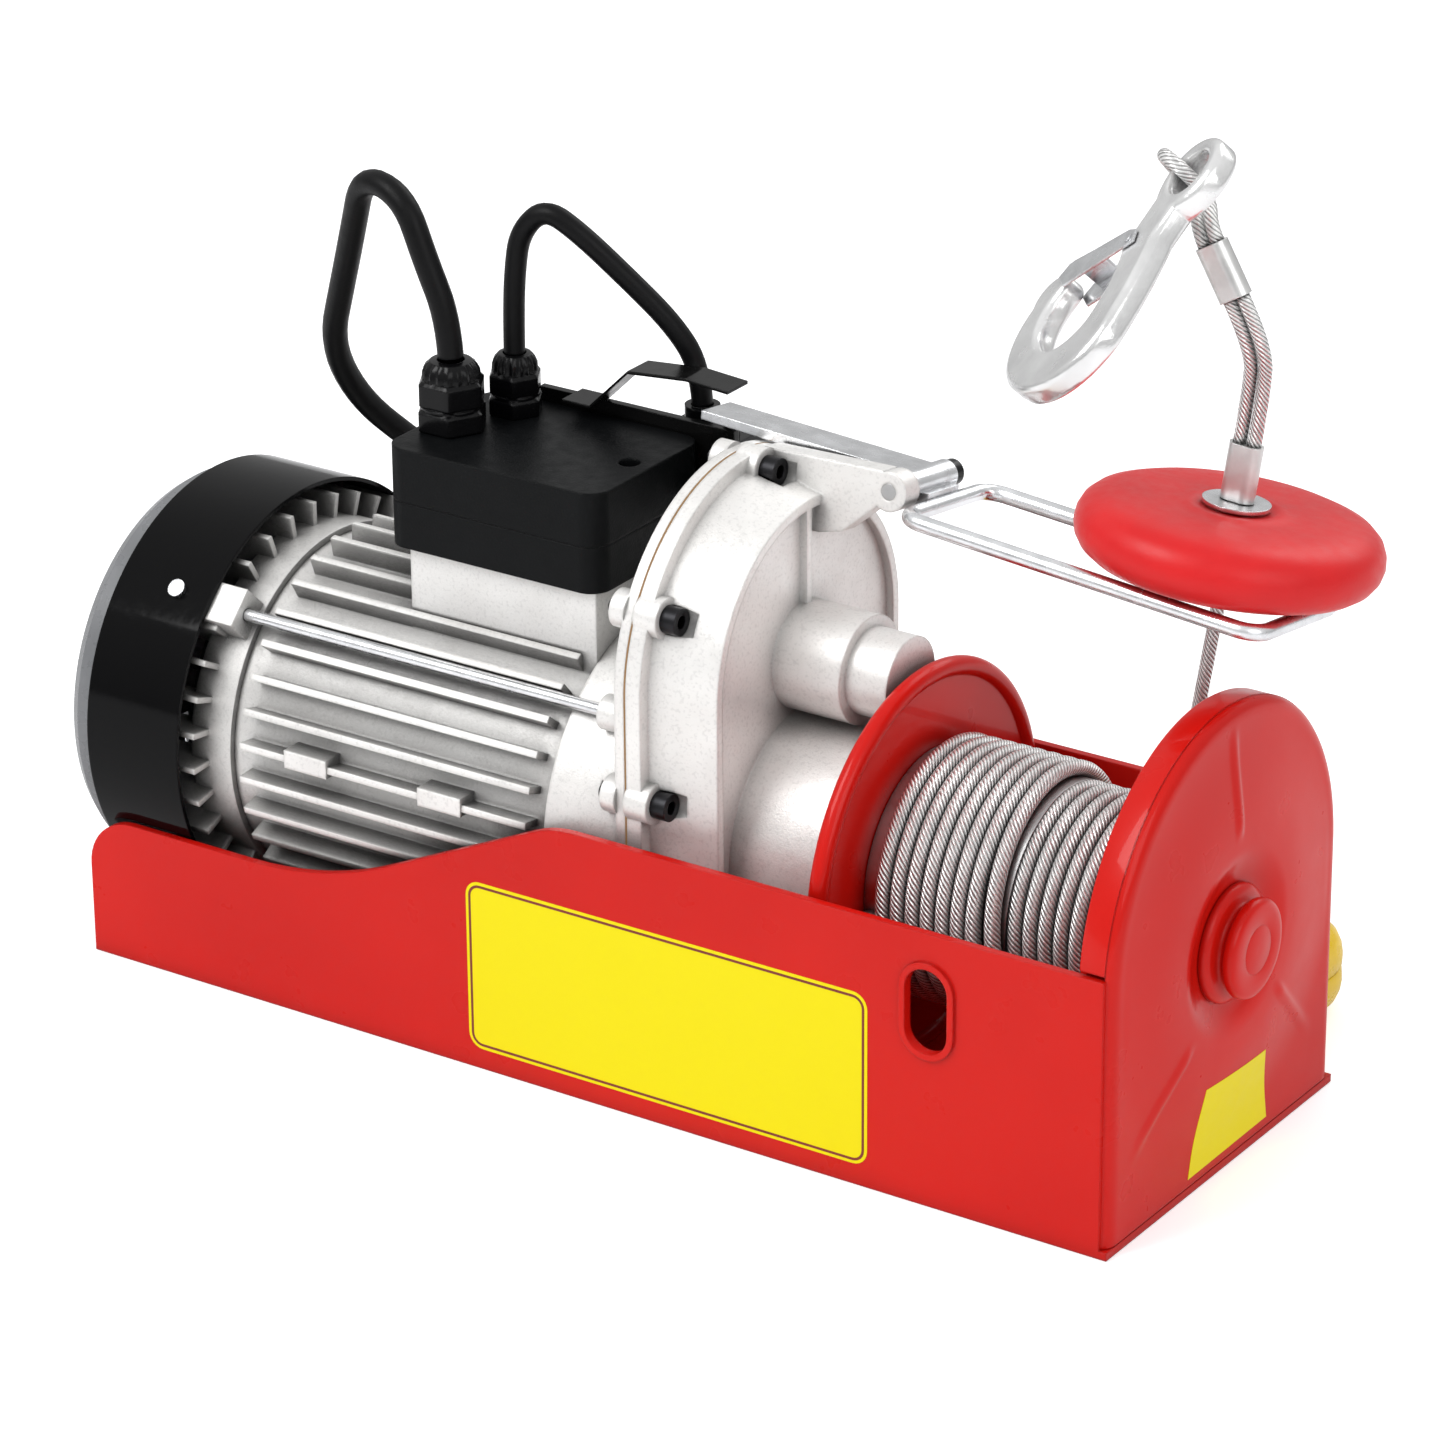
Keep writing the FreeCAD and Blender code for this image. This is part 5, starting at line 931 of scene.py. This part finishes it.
def arch(inset, x):
    """The outline of the end cap, moved inwards."""
    radius = ARCH_RADIUS - inset
    low = ARCH_FOOT + 0.1 * inset
    loop = [(x, -radius, low + (ARCH_CENTRE - low) * i / SIDE_STEPS) for i in range(SIDE_STEPS)]
    for i in range(ARCH_STEPS):
        angle = math.pi - math.pi * i / ARCH_STEPS
        loop.append((x, radius * math.cos(angle), ARCH_CENTRE + radius * math.sin(angle)))
    loop += [(x, radius, ARCH_CENTRE - (ARCH_CENTRE - low) * i / SIDE_STEPS) for i in range(SIDE_STEPS)]
    loop += [(x, radius - 2 * radius * i / FOOT_STEPS, low) for i in range(FOOT_STEPS)]
    return loop


def soft(value):
    """A smooth rise from nothing to one."""
    value = min(1.0, max(0.0, value))
    return value * value * (3 - 2 * value)


RIB_ANGLES = (90, 222, 316)
RIB_HEIGHT, RIB_HALF, RIB_FLANK = 1.0, 3.4, 3
RIB_FROM, RIB_RISE, RIB_TO, RIB_FADE = 38, 8, 88, 20
CAP_BULGE, DIP_RADIUS, DIP_SLOPE, BULGE_SLOPE = 3.5, 22, 13, 40


def relief(y, z):
    """How far the bulged middle and its three ribs stand out."""
    radius = math.hypot(y, z - AXIS)
    bulge = soft((radius - DIP_RADIUS) / DIP_SLOPE) * soft((ARCH_RADIUS - radius) / BULGE_SLOPE)
    best = 0.0
    for angle in RIB_ANGLES:
        ax, az = math.cos(math.radians(angle)), math.sin(math.radians(angle))
        along = y * ax + (z - AXIS) * az
        aside = abs(y * az - (z - AXIS) * ax)
        ends = soft((along - RIB_FROM) / RIB_RISE) * soft((RIB_TO - along) / RIB_FADE)
        best = max(best, soft((RIB_HALF - aside) / RIB_FLANK) * ends)
    return CAP_BULGE * bulge + RIB_HEIGHT * best


# %% Plate and skirt
RINGS, RIM_SHARE = 40, 0.1
EDGE_INSET = 5.0
EDGE_ROUND = ((3.2, 219.65), (1.7, 218.8), (0.6, 217.6), (0.1, 216.2), (0.1, CAP_BACK - 0.6),
              (3.0, CAP_BACK - 0.6))
edge = arch(EDGE_INSET, CAP_FACE)
angles = [math.atan2(z - AXIS, y) for x, y, z in edge]
hole = [(CAP_HOLE * math.cos(a), AXIS + CAP_HOLE * math.sin(a)) for a in angles]
loops = []
for i in range(RINGS + 1):
    share = i / RINGS
    fade = 1 - soft((share - 1 + RIM_SHARE) / RIM_SHARE)
    loop = []
    for (x, y, z), (hy, hz) in zip(edge, hole):
        py, pz = hy + (y - hy) * share, hz + (z - hz) * share
        loop.append((CAP_FACE + relief(py, pz) * fade, py, pz))
    loops.append(loop)
loops += [arch(inset, x) for inset, x in EDGE_ROUND]
loops.append([(CAP_BACK, y, z) for y, z in hole])
loops.append(loops[0])
cap_mesh = skin("pressed_cap", loops, capped=False)
piece("pressed_cap", crease(cap_mesh, 40), RED, "frame", "drum_end_cap", smooth=False)

SKIRT_FOOT, SKIRT_STEPS = 105.5, 72
SKIRT_PROFILE = ((216.6, 77.9), (207.2, 77.9), (206.3, 77.3), (206.1, 76.5), (206.3, 75.7), (207.2, 75.1),
                 (216.6, 75.1))
foot_angle = math.asin((SKIRT_FOOT - ARCH_CENTRE) / ARCH_RADIUS)
skirt_loops = []
for i in range(SKIRT_STEPS + 1):
    angle = foot_angle + (math.pi - 2 * foot_angle) * i / SKIRT_STEPS
    y, z = math.cos(angle), math.sin(angle)
    skirt_loops.append([(x, r * y, ARCH_CENTRE + r * z) for x, r in SKIRT_PROFILE])
piece("cap_skirt", crease(skin("cap_skirt", skirt_loops), 40), RED, "frame", "drum_end_cap", smooth=False)
print("end cap", len(cap_mesh.vertices), "points")

# %% The hub in the dip
HUB_PROFILE = [(11, 224), (11, 216.5), (16, 216.5), (16, 208), (19.9, 208), (19.9, 220), (21.4, 220.2),
               (21.6, 221.6), (20.8, 223), (18.4, 223.9), (16.2, 224.4), (15.5, 225.2), (15.5, 226.2),
               (16.4, 227), (17.6, 227.6), (18, 228.4), (18, 230), (17.5, 231.1), (16.2, 231.8),
               (14.5, 232), (9.4, 232), (8.8, 231.7), (8.2, 232), (1, 232)]
hub_mesh = crease(lathe("turned_hub", HUB_PROFILE, (0, 0, AXIS), (1, 0, 0)), 50)
piece("turned_hub", hub_mesh, RED, "frame", "end_hub", smooth=False)
print("hub", len(hub_mesh.vertices), "points")

# %% [markdown]
# ## The cable glands
# A gland is a hexagon body screwed into the lid and a domed nut with fine flutes that squeezes a seal onto
# the cable. Outlines with six corners make the hexagon, outlines with many small waves make the flutes.

# %% The cable glands
BOX_TOP, THREAD_END, THREAD = 214.0, 208.0, 8.0
FLUTES, CORNER_CUT, BODY_SHARE = 18, 0.985, 0.42


def hexagon(x, y, z, radius, count=72):
    """A hexagon outline with slightly rounded corners."""
    loop = []
    for i in range(count):
        angle = 2 * math.pi * i / count
        local = (angle + math.pi / 6) % (math.pi / 3) - math.pi / 6
        flat = radius * math.cos(math.pi / 6) / math.cos(math.pi / 6 - abs(local))
        flat = min(flat, radius * CORNER_CUT)
        loop.append((x + flat * math.cos(angle), y + flat * math.sin(angle), z))
    return loop


def waves(x, y, z, radius, depth=0.0, count=72):
    """A round outline with small flutes."""
    loop = []
    for i in range(count):
        angle = 2 * math.pi * i / count
        r = radius - depth * (0.5 - 0.5 * math.cos(FLUTES * angle))
        loop.append((x + r * math.cos(angle), y + r * math.sin(angle), z))
    return loop


def gland(name, x, y, radius, height, dome, hole):
    """A hexagon body, a hexagon nut with a fluted dome, and the thread in the lid."""
    body, top = BOX_TOP + height * BODY_SHARE, BOX_TOP + height
    loops = [hexagon(x, y, z, radius * share) for z, share in
             ((BOX_TOP, 0.95), (BOX_TOP + 0.8, 1), (body - 0.8, 1), (body, 0.93))]
    loops += [waves(x, y, body + rise, radius * 0.86) for rise in (0.2, 1.2)]
    loops += [hexagon(x, y, z, radius * share) for z, share in
              ((body + 1.4, 0.92), (body + 2.2, 0.97), (top - 1.2, 0.97), (top, 0.88))]
    loops += [waves(x, y, z, radius * share, depth) for z, share, depth in
              ((top + 0.2, 0.8, 0.9), (top + dome * 0.45, 0.78, 0.9), (top + dome * 0.75, 0.7, 0.6),
               (top + dome * 0.95, 0.58, 0))]
    loops += [waves(x, y, z, r) for z, r in
              ((top + dome, hole + 0.2), (top + dome - 2, hole), (THREAD_END, hole), (THREAD_END, THREAD),
               (BOX_TOP, THREAD))]
    loops.append(loops[0])
    mesh = crease(skin(name, loops, capped=False), 32)
    piece(name, mesh, SMOOTH_BLACK, "frame", "cable_glands", smooth=False)


gland("large_gland", -97, -11, 13.4, 19, 6.9, 4.9)
gland("small_gland", -87, 14, 10.6, 16, 6.9, 4.15)
print("glands done")

# %% [markdown]
# ## The pendant
# The pendant lies on the floor behind the drum end. Its shell is two moulded halves that bulge a little,
# with a seam between them. Each half is a stack of rounded rectangles whose edge draws in towards the flat
# back or front.

# %% The pendant
PENDANT = (65.0, 86.0, 197.0, 144.0)
PENDANT_HIGH = 34.0


def rounded_rectangle(inset, z, corner=20.0, steps=8):
    """The outline of the pendant, moved inwards."""
    x0, y0, x1, y1 = PENDANT[0] + inset, PENDANT[1] + inset, PENDANT[2] - inset, PENDANT[3] - inset
    corner = max(corner - inset, 1.0)
    loop = []
    left, right, low, high = x0 + corner, x1 - corner, y0 + corner, y1 - corner
    for cx, cy, start in ((right, high, 0), (left, high, 90), (left, low, 180), (right, low, 270)):
        for i in range(steps + 1):
            angle = math.radians(start + 90 * i / steps)
            loop.append((cx + corner * math.cos(angle), cy + corner * math.sin(angle), z))
    return loop


half = PENDANT_HIGH / 2
SHELL_EDGE = ((0.9, half - 0.15), (0.2, half - 1.4), (0.0, half - 5), (0.6, half - 9), (2.2, half - 12.6),
              (5.0, half - 15.4), (9.0, half - 16.8))
lower_half = skin("pendant_lower", [rounded_rectangle(inset, z) for inset, z in reversed(SHELL_EDGE)])
upper_half = skin("pendant_upper", [rounded_rectangle(inset, PENDANT_HIGH - z) for inset, z in SHELL_EDGE])
for mesh in (lower_half, upper_half):
    piece(mesh.name, crease(mesh, 40), YELLOW, "frame", "pendant_shell", smooth=False)
print("pendant done")

# %% [markdown]
# ## The yellow plates
# The long side carries a plain yellow foil plate with a thin dark red line round it, and the drum end a
# smaller one. A foil could be an image on the sheet; here it is a very thin body of its own, so its edge
# catches the light. The one on the drum end follows the bulge of the pressed plate.


# %% Foil with rounded corners
CORNER_STEPS = 6


def foil(name, corners, normal, corner, thick, material, hollow=None):
    """A thin plate with rounded corners on a flat face, or only a line of it when hollow is given."""
    a, b, c, d = (Vector(p) for p in corners)
    normal = Vector(normal)

    def loop(inset, out):
        made = []
        points = [a, b, c, d]
        for i in range(4):
            here, before, after = points[i], points[i - 1], points[(i + 1) % 4]
            p = (before - here).normalized()
            q = (after - here).normalized()
            centre = here + (p + q) * corner
            for j in range(CORNER_STEPS + 1):
                t = math.pi / 2 * j / CORNER_STEPS
                spot = centre - q * (corner - inset) * math.cos(t) - p * (corner - inset) * math.sin(t)
                made.append(spot + normal * out)
        return made

    if hollow is None:
        loops = [loop(0, 0), loop(0, thick * 0.7), loop(thick * 0.5, thick)]
        return piece(name, skin(name, loops), material, "frame", smooth=False)
    first, second = hollow
    loops = [loop(first, 0), loop(first, thick), loop(second, thick), loop(second, 0), loop(first, 0)]
    return piece(name, skin(name, loops, capped=False), material, "frame", smooth=False)


# %% Yellow plates
FRONT, FOIL_CORNER = -79.0, 6.0
front_corners = [(-46, FRONT, 8), (124, FRONT, 8), (124, FRONT, 74.5), (-46, FRONT, 74.5)]
foil("front_plate", front_corners, (0, -1, 0), FOIL_CORNER, 0.15, PLATE)
foil("front_plate_line", front_corners, (0, -1, 0), FOIL_CORNER, 0.19, INK, hollow=(1.2, 2.2))
FOIL_STEPS, FOIL_PROUD = 12, 0.15
low_left, low_right, high_left, high_right = (Vector(p) for p in ((-24, 6.5), (31, 7), (-17, 39), (26, 36)))
end_loops = []
for i in range(FOIL_STEPS + 1):
    front = []
    for j in range(FOIL_STEPS + 1):
        u, v = j / FOIL_STEPS, i / FOIL_STEPS
        y, z = low_left.lerp(low_right, u).lerp(high_left.lerp(high_right, u), v)
        front.append((CAP_FACE + relief(y, z) + FOIL_PROUD, y, z))
    end_loops.append(front + [(x - 2 * FOIL_PROUD, y, z) for x, y, z in reversed(front)])
piece("end_plate", skin("end_plate", end_loops), PLATE, "frame", smooth=False)
print("plates done")

# %% [markdown]
# ## Sizes of the finished model
# The box of the dressed model is held against the box of the imported solids, and how far it grows on
# each side is printed.

# %% Sizes
low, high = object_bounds()
past_low = [round((a - b) / MM, 2) for a, b in zip(cad_low, low)]
past_high = [round((b - a) / MM, 2) for a, b in zip(cad_high, high)]
print("box grows by", past_low, past_high)
